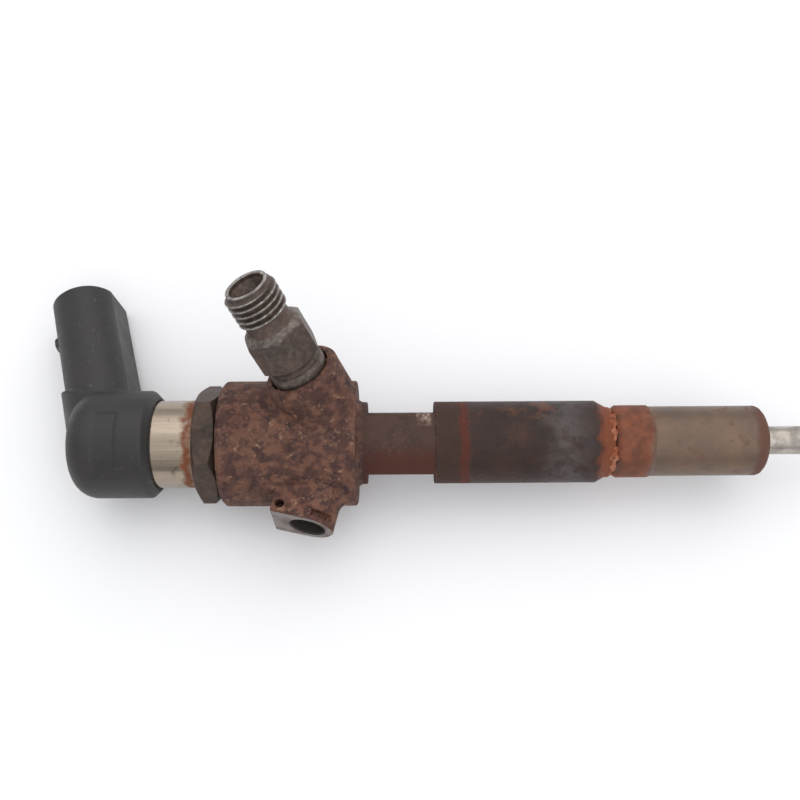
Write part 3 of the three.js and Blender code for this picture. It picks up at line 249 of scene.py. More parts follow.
# Patches: cloudy noise cut at a level, so that a chosen share of the surface is covered.
patches, entry, leave = effect(
    "patches", [("Vector", None), ("Scale", 100.0), ("Cover", 0.5), ("Soft", 0.08)], ["Mask", "Cloud"],
)
cloud = placed(patches, "ShaderNodeTexNoise", {
    "Vector": entry.outputs["Vector"], "Scale": entry.outputs["Scale"], "Detail": 9.0, "Roughness": 0.62,
}).outputs[0]
lowest = sums(patches, "SUBTRACT", sums(patches, "SUBTRACT", 0.8, sums(
    patches, "MULTIPLY", entry.outputs["Cover"], 0.6)), entry.outputs["Soft"])
highest = sums(patches, "ADD", lowest, sums(patches, "MULTIPLY", entry.outputs["Soft"], 2.0))
cut = placed(patches, "ShaderNodeMapRange", {"Value": cloud, "From Min": lowest, "From Max": highest})
patches.links.new(cut.outputs[0], leave.inputs["Mask"])
patches.links.new(cloud, leave.inputs["Cloud"])

# Band: 1 between two places along the injector's axis, fading over a soft edge.
band, entry, leave = effect(
    "band", [("Vector", None), ("From", 0.0), ("To", 0.1), ("Soft", 0.001), ("Ragged", 0.0)], ["Mask"],
)
wander = placed(band, "ShaderNodeTexNoise", {
    "Vector": entry.outputs["Vector"], "Scale": 260.0, "Detail": 5.0}).outputs[0]
shift = sums(band, "MULTIPLY", sums(band, "SUBTRACT", wander, 0.5), entry.outputs["Ragged"])
place = placed(band, "ShaderNodeSeparateXYZ", {0: entry.outputs["Vector"]}).outputs[0]
place = sums(band, "ADD", place, shift)
rise = sums(band, "DIVIDE", sums(band, "SUBTRACT", place, entry.outputs["From"]), entry.outputs["Soft"], True)
fall = sums(band, "DIVIDE", sums(band, "SUBTRACT", entry.outputs["To"], place), entry.outputs["Soft"], True)
band.links.new(sums(band, "MULTIPLY", rise, fall), leave.inputs["Mask"])

# Turning: fine rings left by the lathe tool, a noise that changes only along the axis.
turning, entry, leave = effect("turning", [("Vector", None), ("Scale", 4000.0)], ["Height"])
place = placed(turning, "ShaderNodeSeparateXYZ", {0: entry.outputs["Vector"]}).outputs[0]
rings = placed(turning, "ShaderNodeTexNoise", {
    "W": sums(turning, "MULTIPLY", place, entry.outputs["Scale"]), "Scale": 1.0, "Detail": 3.0,
}, noise_dimensions="1D").outputs[0]
turning.links.new(rings, leave.inputs["Height"])

# Specks: small pale or dark grains and pits, one near the middle of some cells.
specks, entry, leave = effect(
    "specks", [("Vector", None), ("Scale", 900.0), ("Size", 0.3), ("Share", 0.4)], ["Mask"],
)
cells = placed(specks, "ShaderNodeTexVoronoi", {
    "Vector": entry.outputs["Vector"], "Scale": entry.outputs["Scale"]})
near = sums(specks, "LESS_THAN", cells.outputs["Distance"], entry.outputs["Size"])
pick = placed(specks, "ShaderNodeSeparateColor", {0: cells.outputs["Color"]}).outputs[0]
few = sums(specks, "LESS_THAN", pick, entry.outputs["Share"])
specks.links.new(sums(specks, "MULTIPLY", near, few), leave.inputs["Mask"])


def started(name):
    """A new material with its node tree, its shader and its Object coordinates."""
    material = bpy.data.materials.new(name)
    material.use_nodes = True
    tree = material.node_tree
    return material, tree, tree.nodes["Principled BSDF"], placed(tree, "ShaderNodeTexCoord").outputs["Object"]


def grouped(tree, group, spot, output, **values):
    """One of the shared effects, fed with the coordinates and its own values."""
    node = tree.nodes.new("ShaderNodeGroup")
    node.node_tree = group
    tree.links.new(spot, node.inputs["Vector"])
    for name, value in values.items():
        node.inputs[name].default_value = value
    return node.outputs[output]


def relief(tree, shader, height, distance, strength=1.0):
    """Roughens the surface by a height map, distance metres deep."""
    bump = placed(tree, "ShaderNodeBump", {"Height": height, "Distance": distance, "Strength": strength})
    tree.links.new(bump.outputs[0], shader.inputs["Normal"])


def station(x):
    """A place along the injector, in millimetres from its head, in the shared frame."""
    return head_x + x * MM


SLEEVE_TOP = -32.2
SLEEVE_RADIUS = 10.45
sleeve = round_about("polished_sleeve", axis_frame, [
    (SLEEVE_TOP, 9.9), (SLEEVE_TOP + 0.5, SLEEVE_RADIUS), (4.0, SLEEVE_RADIUS), (4.0, 11.1), (6.7, 11.1),
    (6.7, 8.7), (9.2, 8.7), (9.3, 7.1), (10.9, 7.1), (11.0, 8.7), (12.6, 8.7),
])
sleeve_finish, tree, shader, spot = started("polished_sleeve")
stretched = placed(tree, "ShaderNodeMapping", {"Vector": spot, "Scale": (60.0, 2200.0, 2200.0)}).outputs[0]
streaks = placed(tree, "ShaderNodeTexNoise", {"Vector": stretched, "Scale": 1.0, "Detail": 4.0}).outputs[0]
rings = grouped(tree, turning, spot, "Height", Scale=5200.0)
stain = sums(
    tree, "MULTIPLY",
    grouped(tree, band, spot, "Mask", From=station(-8.8), To=station(-5.0), Soft=0.0014, Ragged=0.006),
    grouped(tree, patches, spot, "Mask", Scale=230.0, Cover=0.78, Soft=0.12),
)
marks = grouped(tree, patches, spot, "Mask", Scale=420.0, Cover=0.3, Soft=0.05)
colour = mixed(tree, streaks, paint("8a7d70"), paint("b3a594"))
colour = mixed(tree, sums(tree, "MULTIPLY", marks, 0.55), colour, paint("5f4d41"))
colour = mixed(tree, stain, colour, paint("76401f"))
tree.links.new(colour, shader.inputs["Base Color"])
tree.links.new(sums(tree, "SUBTRACT", 1.0, stain), shader.inputs["Metallic"])
tree.links.new(
    sums(tree, "ADD", sums(tree, "MULTIPLY", streaks, 0.16), sums(tree, "ADD", 0.14, sums(
        tree, "MULTIPLY", stain, 0.5))), shader.inputs["Roughness"])
relief(tree, shader, sums(tree, "ADD", rings, sums(tree, "MULTIPLY", streaks, 0.6)), 0.00001)
sleeve.data.materials.append(sleeve_finish)
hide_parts("actuator_sleeve")
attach(sleeve, "injector")


# ---- plastic connector ----------------------------------------------------------------------
# Black glass-filled plastic moulded over the top of the sleeve, with a leaning shroud round
# the two blades, a keyed flat side and a small catch. Its label is a plain shallow recess.

CAP_RADIUS = 12.85
CAP_END = -35.6
CAP_LIP = -15.5
CAP_ROUND = 6.0
SHROUD_RADIUS = 8.05
SHROUD_MOUTH = 42.95
SHROUD_FLOOR = 28.0
SHROUD_WALL = 1.7
SHROUD_ROOT = 6.0
KEY_CORNER = 7.85
KEY_ROUNDING = 1.6
KEY_ANGLE = 66.5
ROUND_CENTRE = -0.9
PLUG_CROSSING = -27.1
SHROUD_FILLET = 1.0
CATCH_PROUD = 0.8
LABEL_CLOCK = math.radians(116.5)
LABEL_START = -28.1
LABEL_END = -23.1
LABEL_HALF_WIDTH = 8
LABEL_DEPTH = 0.3


def port_frame(mount, crossing):
    """The frame of a port: out along it, square to the axis, and towards the nozzle."""
    out = np.array(mounts[mount]["axis"])
    side = np.cross(ALONG, out)
    side /= np.linalg.norm(side)
    origin = np.array([station(crossing), axis_middle[1], axis_middle[2]])
    return origin, out, side, np.cross(out, side)


def lean_of(where):
    """Cosine and sine of a port's lean from square to the axis."""
    return float(np.hypot(where[1][1], where[1][2])), float(-where[1][0])


def rooted(where, across, over, radius):
    """Height at which a line along a port at (across, over) comes out of a round bar."""
    upright, leaning = lean_of(where)
    rise = np.sqrt(np.maximum(radius ** 2 - across ** 2, 0))
    return (rise - over * leaning) / upright


def flared(where, outline, height, radius, size):
    """How far a wall on a round bar stands out at each height: a fillet of that size.

    It starts size above the place where the wall leaves the bar, and ends where a wall that
    stood size further out would, so its foot lies on the bar all the way round.
    """
    normal = outward(outline)
    foot = outline + normal * np.reshape(size, (-1, 1))
    low = rooted(where, foot[:, 0], foot[:, 1], radius)
    high = rooted(where, outline[:, 0], outline[:, 1], radius) + size
    share = np.clip((high - height) / np.maximum(high - low, 0.1), 0, 1)
    return size * (1 - np.sqrt(1 - share ** 2))


def window(value, low, high, soft):
    """1 between low and high, falling to 0 over a soft edge outside them."""
    return np.clip((value - low) / soft + 1, 0, 1) * np.clip((high - value) / soft + 1, 0, 1)


def shroud_outline(inset):
    """The shroud's outline: most of a circle, a slanting flat, and one rounded corner."""
    radius = SHROUD_RADIUS - inset
    key = KEY_CORNER - inset
    angle = np.radians(np.linspace(-180, KEY_ANGLE, 150))
    arc = np.stack([radius * np.cos(angle), ROUND_CENTRE + radius * np.sin(angle)], axis=-1)
    share = np.linspace(0, 1, 14)[:, None]
    start = np.array([-radius + KEY_ROUNDING, key])
    corner = np.array([-radius, key])
    end = np.array([-radius, key - KEY_ROUNDING])
    bend = (1 - share) ** 2 * start + 2 * share * (1 - share) * corner + share ** 2 * end
    flat = arc[-1] + (start - arc[-1]) * np.linspace(0, 1, 30)[1:-1, None]
    side = end + (arc[0] - end) * np.linspace(0, 1, 26)[1:-1, None]
    return np.concatenate([arc, flat, bend, side])


def outward(outline):
    """Unit normals of a closed outline that runs anticlockwise."""
    run = np.roll(outline, -1, axis=0) - np.roll(outline, 1, axis=0)
    normal = np.stack([run[:, 1], -run[:, 0]], axis=-1)
    return normal / np.linalg.norm(normal, axis=1, keepdims=True)


plug_frame = port_frame("connector_rim", PLUG_CROSSING)
heights = np.concatenate([
    np.linspace(SHROUD_ROOT, SHROUD_MOUTH - 0.6, 150), SHROUD_MOUTH - 0.6 * np.cos(np.linspace(0.3, 1.57, 5)),
])
inner_heights = np.concatenate([[SHROUD_MOUTH], np.linspace(SHROUD_MOUTH - 0.5, SHROUD_FLOOR, 30)])
rim_insets = np.concatenate([np.zeros(150), 0.6 * (1 - np.sin(np.linspace(1.27, 0, 5)))])
rows = []
for height, inset in zip(heights, rim_insets):
    outline = shroud_outline(inset)
    proud = flared(plug_frame, outline, height, CAP_RADIUS, SHROUD_FILLET)
    catch = CATCH_PROUD * window(height, 30.7, 32.5, 0.6) * window(outline[:, 0], -1.7, 1.7, 0.3)
    proud = proud + catch * (outline[:, 1] < -5)
    rows.append((np.full(len(outline), height), outline + outward(outline) * proud[:, None]))
for height, inset in zip(inner_heights, np.r_[SHROUD_WALL - 0.4, np.full(30, SHROUD_WALL)]):
    outline = shroud_outline(inset)
    rows.append((np.full(len(outline), height), outline))
grid = np.stack([row[1] for row in rows])
shroud = skin("connector_shroud", plug_frame, np.stack([row[0] for row in rows]), grid[..., 0], grid[..., 1])

quarter = np.linspace(0, np.pi / 2, 14)
cap_profile = filled([
    (CAP_END, 0.4),
    *zip(CAP_END + CAP_ROUND * (1 - np.cos(quarter)), CAP_RADIUS - CAP_ROUND * (1 - np.sin(quarter))),
    (CAP_LIP - 1.9, CAP_RADIUS), (CAP_LIP - 1.5, CAP_RADIUS - 0.15), (CAP_LIP - 0.2, 11.4),
    (CAP_LIP, 11.1), (CAP_LIP, 10.6), (CAP_LIP - 4, 10.6),
], 0.4)
clock = np.linspace(0, 2 * np.pi, 240, endpoint=False)[None, :]
along, radius = cap_profile[:, :1], cap_profile[:, 1:]
round_from_label = (clock - LABEL_CLOCK) * CAP_RADIUS
panel = window(along, LABEL_START, LABEL_END, 0.25)
panel = panel * window(round_from_label, -LABEL_HALF_WIDTH, LABEL_HALF_WIDTH, 0.25)
radius = radius - LABEL_DEPTH * panel * (radius > 12)
cap = skin("connector_cap", axis_frame, along, radius * np.cos(clock), radius * np.sin(clock))

plastic_finish, tree, shader, spot = started("black_connector_plastic")
grain = placed(tree, "ShaderNodeTexNoise", {"Vector": spot, "Scale": 2600.0, "Detail": 5.0}).outputs[0]
dust = grouped(tree, patches, spot, "Mask", Scale=90.0, Cover=0.42, Soft=0.22)
scuff = grouped(tree, patches, spot, "Mask", Scale=520.0, Cover=0.26, Soft=0.04)
colour = mixed(tree, sums(tree, "MULTIPLY", dust, 0.3), paint("212123"), paint("4c4139"))
colour = mixed(tree, sums(tree, "MULTIPLY", scuff, 0.35), colour, paint("5c5954"))
tree.links.new(colour, shader.inputs["Base Color"])
tree.links.new(sums(tree, "ADD", 0.42, sums(tree, "MULTIPLY", dust, 0.22)), shader.inputs["Roughness"])
relief(tree, shader, grain, 0.00003, 0.6)
for piece in (cap, shroud):
    piece.data.materials.append(plastic_finish)
    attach(piece, "injector")
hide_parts("connector_housing")
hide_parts("connector_housing")


# ---- actuator nut ---------------------------------------------------------------------------
# A black steel hexagon with chamfered corners that clamps the sleeve's flange into the head.
# Its finish has gone brown with rust, most of all along the edges.

NUT_FLATS = 25.0
NUT_BORE = 10.8
HEX_CLOCK = math.radians(13.8)
HEX_START = -5.7
HEX_END = -0.35
NUT_THREAD = 11.9


def hexagonal(clock, across_flats, corner_clock):
    """Radius of a hexagon at each clock angle, with one corner at corner_clock."""
    sixth = np.pi / 3
    off = np.mod(clock - corner_clock, sixth) - sixth / 2
    return across_flats / 2 / np.cos(off)


clock = np.linspace(0, 2 * np.pi, 360, endpoint=False)[None, :] + HEX_CLOCK
corner = NUT_FLATS / 2 / math.cos(math.pi / 6)
face = NUT_FLATS / 2 - 0.3
run = (corner - face) * math.tan(math.radians(30))
nut_profile = filled([
    (HEX_START, NUT_BORE), (HEX_START, face), (HEX_START + run, corner), (HEX_END - run, corner),
    (HEX_END, face), (HEX_END, NUT_THREAD), (3.6, NUT_THREAD), (3.6, NUT_BORE),
], 0.25)
along, radius = nut_profile[:, :1], nut_profile[:, 1:]
radius = np.minimum(radius, hexagonal(clock, NUT_FLATS - 0.1, HEX_CLOCK))
nut = skin("hex_nut", axis_frame, along, radius * np.cos(clock), radius * np.sin(clock), closed=True)

nut_finish, tree, shader, spot = started("browned_nut_steel")
rust = grouped(tree, patches, spot, "Mask", Scale=170.0, Cover=0.55, Soft=0.14)
fine = grouped(tree, patches, spot, "Mask", Scale=900.0, Cover=0.42, Soft=0.08)
cloud = grouped(tree, patches, spot, "Cloud", Scale=1500.0)
colour = mixed(tree, rust, paint("2f2927"), paint("4b3a30"))
colour = mixed(tree, sums(tree, "MULTIPLY", fine, 0.25), colour, paint("6d5949"))
tree.links.new(colour, shader.inputs["Base Color"])
tree.links.new(sums(tree, "SUBTRACT", 0.75, sums(tree, "MULTIPLY", rust, 0.5)), shader.inputs["Metallic"])
tree.links.new(sums(tree, "ADD", 0.38, sums(tree, "MULTIPLY", rust, 0.25)), shader.inputs["Roughness"])
relief(tree, shader, cloud, 0.00008, 0.8)
nut.data.materials.append(nut_finish)
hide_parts("actuator_nut")
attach(nut, "injector")


# ---- body -----------------------------------------------------------------------------------
# One steel forging: round head, flat-sided clamp neck, long shank and a cone down to the
# thread. Its machined skin has rusted all over, brown and purple, with pale dried deposits.
# On the neck and shank the far side, towards the light, is painted paler and more orange as
# painted highlight, and the neck's near side darker as painted shade.

HEAD_RADIUS = 14.95
SHANK_RADIUS = 9.8
HEAD_LENGTH = 31.8
NECK_START = 34.2
NECK_END = 50.1
SHANK_END = 88.3
CONE_END = 92.0
BODY_END = 101.8
CLAMP_FLATS = 14.3
ACTUATOR_BORE = 9.1
VALVE_SEAT = 28.5
BUSH_SEAT = 33.6
PISTON_BORE = 2.6
FLATS_CLOCK = math.radians(28.5)

bend = np.linspace(0, np.pi / 2, 8)
body_profile = filled([
    (BUSH_SEAT, PISTON_BORE), (BUSH_SEAT, 4.7), (VALVE_SEAT, 4.7), (VALVE_SEAT, ACTUATOR_BORE),
    (25.1, ACTUATOR_BORE), (25.1, 10.1), (16.0, 10.1), (16.0, ACTUATOR_BORE), (7.0, ACTUATOR_BORE),
    (7.0, 12.3), (0.05, 12.3), (0.05, HEAD_RADIUS - 1.1), (0.25, HEAD_RADIUS - 0.8),
    (0.9, HEAD_RADIUS - 0.1), (1.3, HEAD_RADIUS), (HEAD_LENGTH - 0.5, HEAD_RADIUS),
    (HEAD_LENGTH - 0.1, HEAD_RADIUS - 0.2), (HEAD_LENGTH, HEAD_RADIUS - 0.5),
    *zip(HEAD_LENGTH + 1.7 * (1 - np.cos(bend)), SHANK_RADIUS + 1.7 * (1 - np.sin(bend))),
    (NECK_START - 0.15, SHANK_RADIUS), (NECK_START, SHANK_RADIUS - 0.15),
    (NECK_START + 0.02, SHANK_RADIUS - 0.2), (NECK_END - 0.02, SHANK_RADIUS - 0.2),
    (NECK_END, SHANK_RADIUS - 0.15), (NECK_END + 0.15, SHANK_RADIUS), (SHANK_END, SHANK_RADIUS),
    (CONE_END, 7.7), (CONE_END + 0.3, 6.95), (BODY_END, 6.95), (BODY_END, PISTON_BORE),
], 0.3)
clock = np.linspace(0, 2 * np.pi, 288, endpoint=False)[None, :]
along, radius = body_profile[:, :1], body_profile[:, 1:]
flat_reach = CLAMP_FLATS / 2 / np.maximum(np.abs(np.cos(clock - FLATS_CLOCK)), 0.05)
in_neck = (along > NECK_START + 0.01) & (along < NECK_END - 0.01)
radius = np.where(in_neck, np.minimum(radius, flat_reach), radius + 0 * clock)
body = skin("body_forging", axis_frame, along, radius * np.cos(clock), radius * np.sin(clock), closed=True)

body_finish, tree, shader, spot = started("rusted_body_steel")
broad = grouped(tree, patches, spot, "Mask", Scale=110.0, Cover=0.5, Soft=0.16)
copper = grouped(tree, patches, spot, "Mask", Scale=420.0, Cover=0.47, Soft=0.07)
dark = grouped(tree, patches, spot, "Mask", Scale=300.0, Cover=0.42, Soft=0.06)
pale = grouped(tree, patches, spot, "Mask", Scale=520.0, Cover=0.27, Soft=0.04)
flecks = sums(
    tree, "MULTIPLY", grouped(tree, patches, spot, "Mask", Scale=1500.0, Cover=0.36, Soft=0.04),
    grouped(tree, patches, spot, "Mask", Scale=140.0, Cover=0.4, Soft=0.1),
)
cloud = grouped(tree, patches, spot, "Cloud", Scale=1100.0)
head = grouped(tree, band, spot, "Mask", From=station(-1), To=station(33), Soft=0.001, Ragged=0.001)
collar = grouped(tree, band, spot, "Mask", From=station(50), To=station(56.6), Soft=0.0008, Ragged=0.0016)
red_line = grouped(tree, band, spot, "Mask", From=station(55.6), To=station(58.6), Soft=0.0008, Ragged=0.003)
shank = grouped(tree, band, spot, "Mask", From=station(57.6), To=station(90), Soft=0.0014, Ragged=0.004)
groove = grouped(tree, band, spot, "Mask", From=station(87.6), To=station(94), Soft=0.0016, Ragged=0.005)
colour = mixed(tree, broad, paint("4a322d"), paint("593f37"))
colour = mixed(tree, sums(tree, "MULTIPLY", dark, 0.75), colour, paint("38282a"))
worn_share = grouped(tree, patches, spot, "Mask", Scale=55.0, Cover=0.55, Soft=0.2)
head_copper = sums(tree, "MULTIPLY", copper, sums(tree, "MULTIPLY", head, sums(
    tree, "ADD", 0.25, sums(tree, "MULTIPLY", worn_share, 0.5))))
colour = mixed(tree, head_copper, colour, paint("835b49"))
colour = mixed(tree, sums(tree, "MULTIPLY", pale, sums(tree, "MULTIPLY", head, 0.7)), colour, paint("a28068"))
colour = mixed(tree, sums(tree, "MULTIPLY", flecks, 0.4), colour, paint("a78f7c"))
place = placed(tree, "ShaderNodeSeparateXYZ", {0: spot})
across = place.outputs[1]
above_table = place.outputs[2]
axis_y, axis_z = (float(value) for value in axis_middle[1:])
upper_side = sums(tree, "MULTIPLY", sums(tree, "SUBTRACT", above_table, axis_z + 0.006), 500.0, True)
far_side = sums(tree, "MULTIPLY", sums(tree, "SUBTRACT", across, axis_y + 0.001), 400.0, True)
near_edge = sums(tree, "SUBTRACT", axis_y - 0.005, across)
ragged_edge = sums(tree, "ADD", near_edge, sums(tree, "MULTIPLY", cloud, 0.005))
near_side = sums(tree, "MULTIPLY", ragged_edge, 260.0, True)
neck = grouped(tree, band, spot, "Mask", From=station(33), To=station(50.3), Soft=0.0006)
colour = mixed(tree, sums(tree, "MULTIPLY", neck, 0.6), colour, paint("4b3a33"))
# Painted shade: on the near side of the neck, turned away from the light, the colour is mixed towards a dark
# red-brown.
neck_painted_shade = sums(tree, "MULTIPLY", sums(tree, "MULTIPLY", neck, near_side), 0.7)
colour = mixed(tree, neck_painted_shade, colour, paint("4f271d"))
# Pale deposit patches near the neck's end, kept to its upper far side where the light falls: partly dried
# deposit, partly painted highlight.
deposit_and_highlight = sums(
    tree, "MULTIPLY", grouped(tree, patches, spot, "Mask", Scale=600.0, Cover=0.52, Soft=0.07),
    grouped(tree, band, spot, "Mask", From=station(45.8), To=station(49.6), Soft=0.0014, Ragged=0.006),
)
deposit_and_highlight = sums(tree, "MULTIPLY", deposit_and_highlight, upper_side)
colour = mixed(tree, sums(tree, "MULTIPLY", deposit_and_highlight, far_side), colour, paint("ac9a88"))
colour = mixed(tree, sums(tree, "MULTIPLY", collar, 0.85), colour, paint("3f2e26"))
colour = mixed(tree, sums(tree, "MULTIPLY", red_line, 0.8), colour, paint("56291f"))
shank_tone = mixed(tree, broad, paint("332c2b"), paint("42322d"))
colour = mixed(tree, sums(tree, "MULTIPLY", shank, 0.9), colour, shank_tone)
# Orange rust bloom on the shank: the rust patches are real, and their extra strength on the far side that
# faces the light is painted light.
rust_bloom_and_light = sums(
    tree, "MULTIPLY", grouped(tree, patches, spot, "Mask", Scale=230.0, Cover=0.34, Soft=0.07),
    grouped(tree, band, spot, "Mask", From=station(58), To=station(79), Soft=0.004, Ragged=0.01),
)
colour = mixed(tree, sums(tree, "MULTIPLY", sums(
    tree, "MULTIPLY", rust_bloom_and_light, sums(tree, "ADD", 0.15, far_side, True)), 0.85), colour, paint("764a33"))
scale_patch = sums(
    tree, "MULTIPLY", grouped(tree, patches, spot, "Mask", Scale=260.0, Cover=0.56, Soft=0.1),
    grouped(tree, band, spot, "Mask", From=station(74), To=station(88.4), Soft=0.006, Ragged=0.008),
)
colour = mixed(tree, sums(tree, "MULTIPLY", scale_patch, 0.6), colour, paint("625c5b"))
colour = mixed(tree, sums(tree, "MULTIPLY", groove, 0.9), colour, paint("7f4730"))
tree.links.new(colour, shader.inputs["Base Color"])
tree.links.new(sums(tree, "MULTIPLY", shank, 0.35), shader.inputs["Metallic"])
tree.links.new(sums(tree, "SUBTRACT", 0.72, sums(tree, "MULTIPLY", shank, 0.2)), shader.inputs["Roughness"])
shader.inputs["Specular IOR Level"].default_value = 0.22
height = sums(tree, "ADD", cloud, sums(tree, "MULTIPLY", pale, 0.35))
relief(tree, shader, height, 0.00022, 0.9)
body.data.materials.append(body_finish)
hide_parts("injector_body")
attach(body, "injector")


# ---- inlet boss on the head -----------------------------------------------------------------
# Part of the same forging: a round boss that leans towards the connector, bored at its end to
# take the inlet connector's collar, and run into the head with a rounded fillet.

INLET_RADIUS = 8.85
INLET_TOP = 24.6
INLET_RECESS = 6.9
INLET_CROSSING = 29.0
BOSS_FILLET = 2.0
HEAD_EDGE = 0.45
inlet_frame = port_frame("inlet_end_face", INLET_CROSSING)
boss_profile = filled([
    (10.0, INLET_RADIUS), (INLET_TOP - 1.1, INLET_RADIUS), (INLET_TOP - 0.6, INLET_RADIUS - 0.35),
    (INLET_TOP, INLET_RADIUS - 1.1), (INLET_TOP, INLET_RECESS + 0.15), (INLET_TOP - 0.2, INLET_RECESS),
    (21.8, INLET_RECESS), (21.8, 5.3),
], 0.25)
clock = np.linspace(0, 2 * np.pi, 240, endpoint=False)[None, :]
along, radius = boss_profile[:, :1], boss_profile[:, 1:] + 0 * clock
boss_ring = INLET_RADIUS * np.concatenate([np.cos(clock), np.sin(clock)]).T
flares = np.stack([
    flared(inlet_frame, boss_ring, height, HEAD_RADIUS, BOSS_FILLET) for height in along[:, 0]
])
radius = radius + flares * (radius > INLET_RADIUS - 0.01)
upright, leaning = lean_of(inlet_frame)
head_end = (HEAD_LENGTH - HEAD_EDGE - INLET_CROSSING + leaning * along) / upright
over = np.minimum(radius * np.sin(clock), head_end)
inlet_boss = skin("inlet_boss", inlet_frame, along, radius * np.cos(clock), over)
inlet_boss.data.materials.append(body_finish)
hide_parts("injector_body")
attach(inlet_boss, "injector")


# ---- return boss on the head ----------------------------------------------------------------
# Round towards the nozzle and square towards the connector, with a machined face, a bore for
# the return pipe's spigot, and a slot and a cross hole for the spring clip that holds it.

RETURN_FACE = 21.95
RETURN_RADIUS = 6.05
RETURN_SQUARE = 8.25
RETURN_BORE = 4.05
CLIP_HOLE = (19.8, -6.5, 1.0)
CLIP_SLOT = (19.3, 20.9, 0.9, 5.3)
SLOT_DEPTH = 1.6
HOLE_DEPTH = 2.5
FACE_EDGE = 0.25
RETURN_FLOOR = 14.6
RETURN_CROSSING = 25.5
return_frame = port_frame("return_port_face", RETURN_CROSSING)


def return_outline(inset):
    """Half a circle towards the nozzle, and three sides of a rectangle behind it."""
    radius = RETURN_RADIUS - inset
    square = -(RETURN_SQUARE - inset)
    angle = np.linspace(0, np.pi, 90)
    arc = np.stack([radius * np.cos(angle), radius * np.sin(angle)], axis=-1)
    corners = np.array([(-radius, 0), (-radius, square), (radius, square), (radius, 0)])
    share = np.linspace(0, 1, 64, endpoint=False)[:, None]
    sides = [low + (high - low) * share for low, high in zip(corners[:-1], corners[1:])]
    return np.concatenate([arc, np.concatenate(sides)[1:]])


heights = np.concatenate([
    np.linspace(10.0, 16.0, 40), np.linspace(16.1, RETURN_FACE - FACE_EDGE, 60), [RETURN_FACE],
])
insets = np.concatenate([np.zeros(len(heights) - 1), [FACE_EDGE]])
rows = []
for height, inset in zip(heights, insets):
    outline = return_outline(inset)
    spread = 0.6 + 2.2 * window(outline[:, 1], 1.0, 9.0, 3.0)
    proud = flared(return_frame, outline, height, HEAD_RADIUS, spread)
    low, high, start, end = CLIP_SLOT
    in_slot = (height > low) & (height < high) & (outline[:, 1] > start) & (outline[:, 1] < end)
    slot_depth = SLOT_DEPTH * in_slot
    hole_height, hole_over, hole_radius = CLIP_HOLE
    from_hole = np.hypot(height - hole_height, outline[:, 1] - hole_over)
    hole_depth = HOLE_DEPTH * (from_hole < hole_radius) * (np.abs(outline[:, 0]) > RETURN_RADIUS - 0.3)
    moved = outline + outward(outline) * (proud - slot_depth - hole_depth)[:, None]
    rows.append((np.full(len(outline), height), moved))
outline = return_outline(FACE_EDGE)
direction = np.arctan2(outline[:, 1], outline[:, 0])
for height, bore in [
    (RETURN_FACE, RETURN_BORE + 0.3), (RETURN_FACE - 0.3, RETURN_BORE), (RETURN_FLOOR, RETURN_BORE),
]:
    circle = np.stack([bore * np.cos(direction), bore * np.sin(direction)], axis=-1)
    rows.append((np.full(len(outline), height), circle))
grid = np.stack([row[1] for row in rows])
levels = np.stack([row[0] for row in rows])
return_boss = skin("return_boss", return_frame, levels, grid[..., 0], grid[..., 1])

face_finish, tree, shader, spot = started("machined_return_face")
rust = grouped(tree, patches, spot, "Mask", Scale=240.0, Cover=0.45, Soft=0.12)
cloud = grouped(tree, patches, spot, "Cloud", Scale=1300.0)
colour = mixed(tree, rust, paint("7d7672"), paint("5a443c"))
tree.links.new(colour, shader.inputs["Base Color"])
tree.links.new(sums(tree, "SUBTRACT", 0.9, sums(tree, "MULTIPLY", rust, 0.7)), shader.inputs["Metallic"])
tree.links.new(sums(tree, "ADD", 0.34, sums(tree, "MULTIPLY", rust, 0.3)), shader.inputs["Roughness"])
relief(tree, shader, cloud, 0.00008)
bore_finish, tree, shader, spot = started("fouled_return_bore")
cloud = grouped(tree, patches, spot, "Cloud", Scale=900.0)
tree.links.new(mixed(tree, cloud, paint("1c1918"), paint("3a322f")), shader.inputs["Base Color"])
shader.inputs["Roughness"].default_value = 0.7
relief(tree, shader, cloud, 0.0001)
for finish in (body_finish, face_finish, bore_finish):
    return_boss.data.materials.append(finish)
columns = len(outline)
kinds = np.zeros(len(return_boss.data.polygons), int)
kinds[(len(heights) - 1) * columns:len(heights) * columns] = 1
kinds[len(heights) * columns:] = 2
return_boss.data.polygons.foreach_set("material_index", kinds)
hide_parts("injector_body")
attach(return_boss, "injector")


# ---- inlet connector ------------------------------------------------------------------------
# A turned steel stub screwed into the inlet boss: collar, hexagon, neck and a pipe thread,
# with a sealing cone in its mouth. The crests of the thread and the rim are rubbed bright;
# the collar's rounded crown is lightened a little as a painted highlight.

THREAD_CREST = 5.88
THREAD_ROOT = 5.0
THREAD_START = 40.9
THREAD_END = 48.3
THREAD_PITCH = 1.5
INLET_MOUTH = 48.95
INLET_HEX = 13.15
STUB_HEX_CLOCK = math.radians(15)

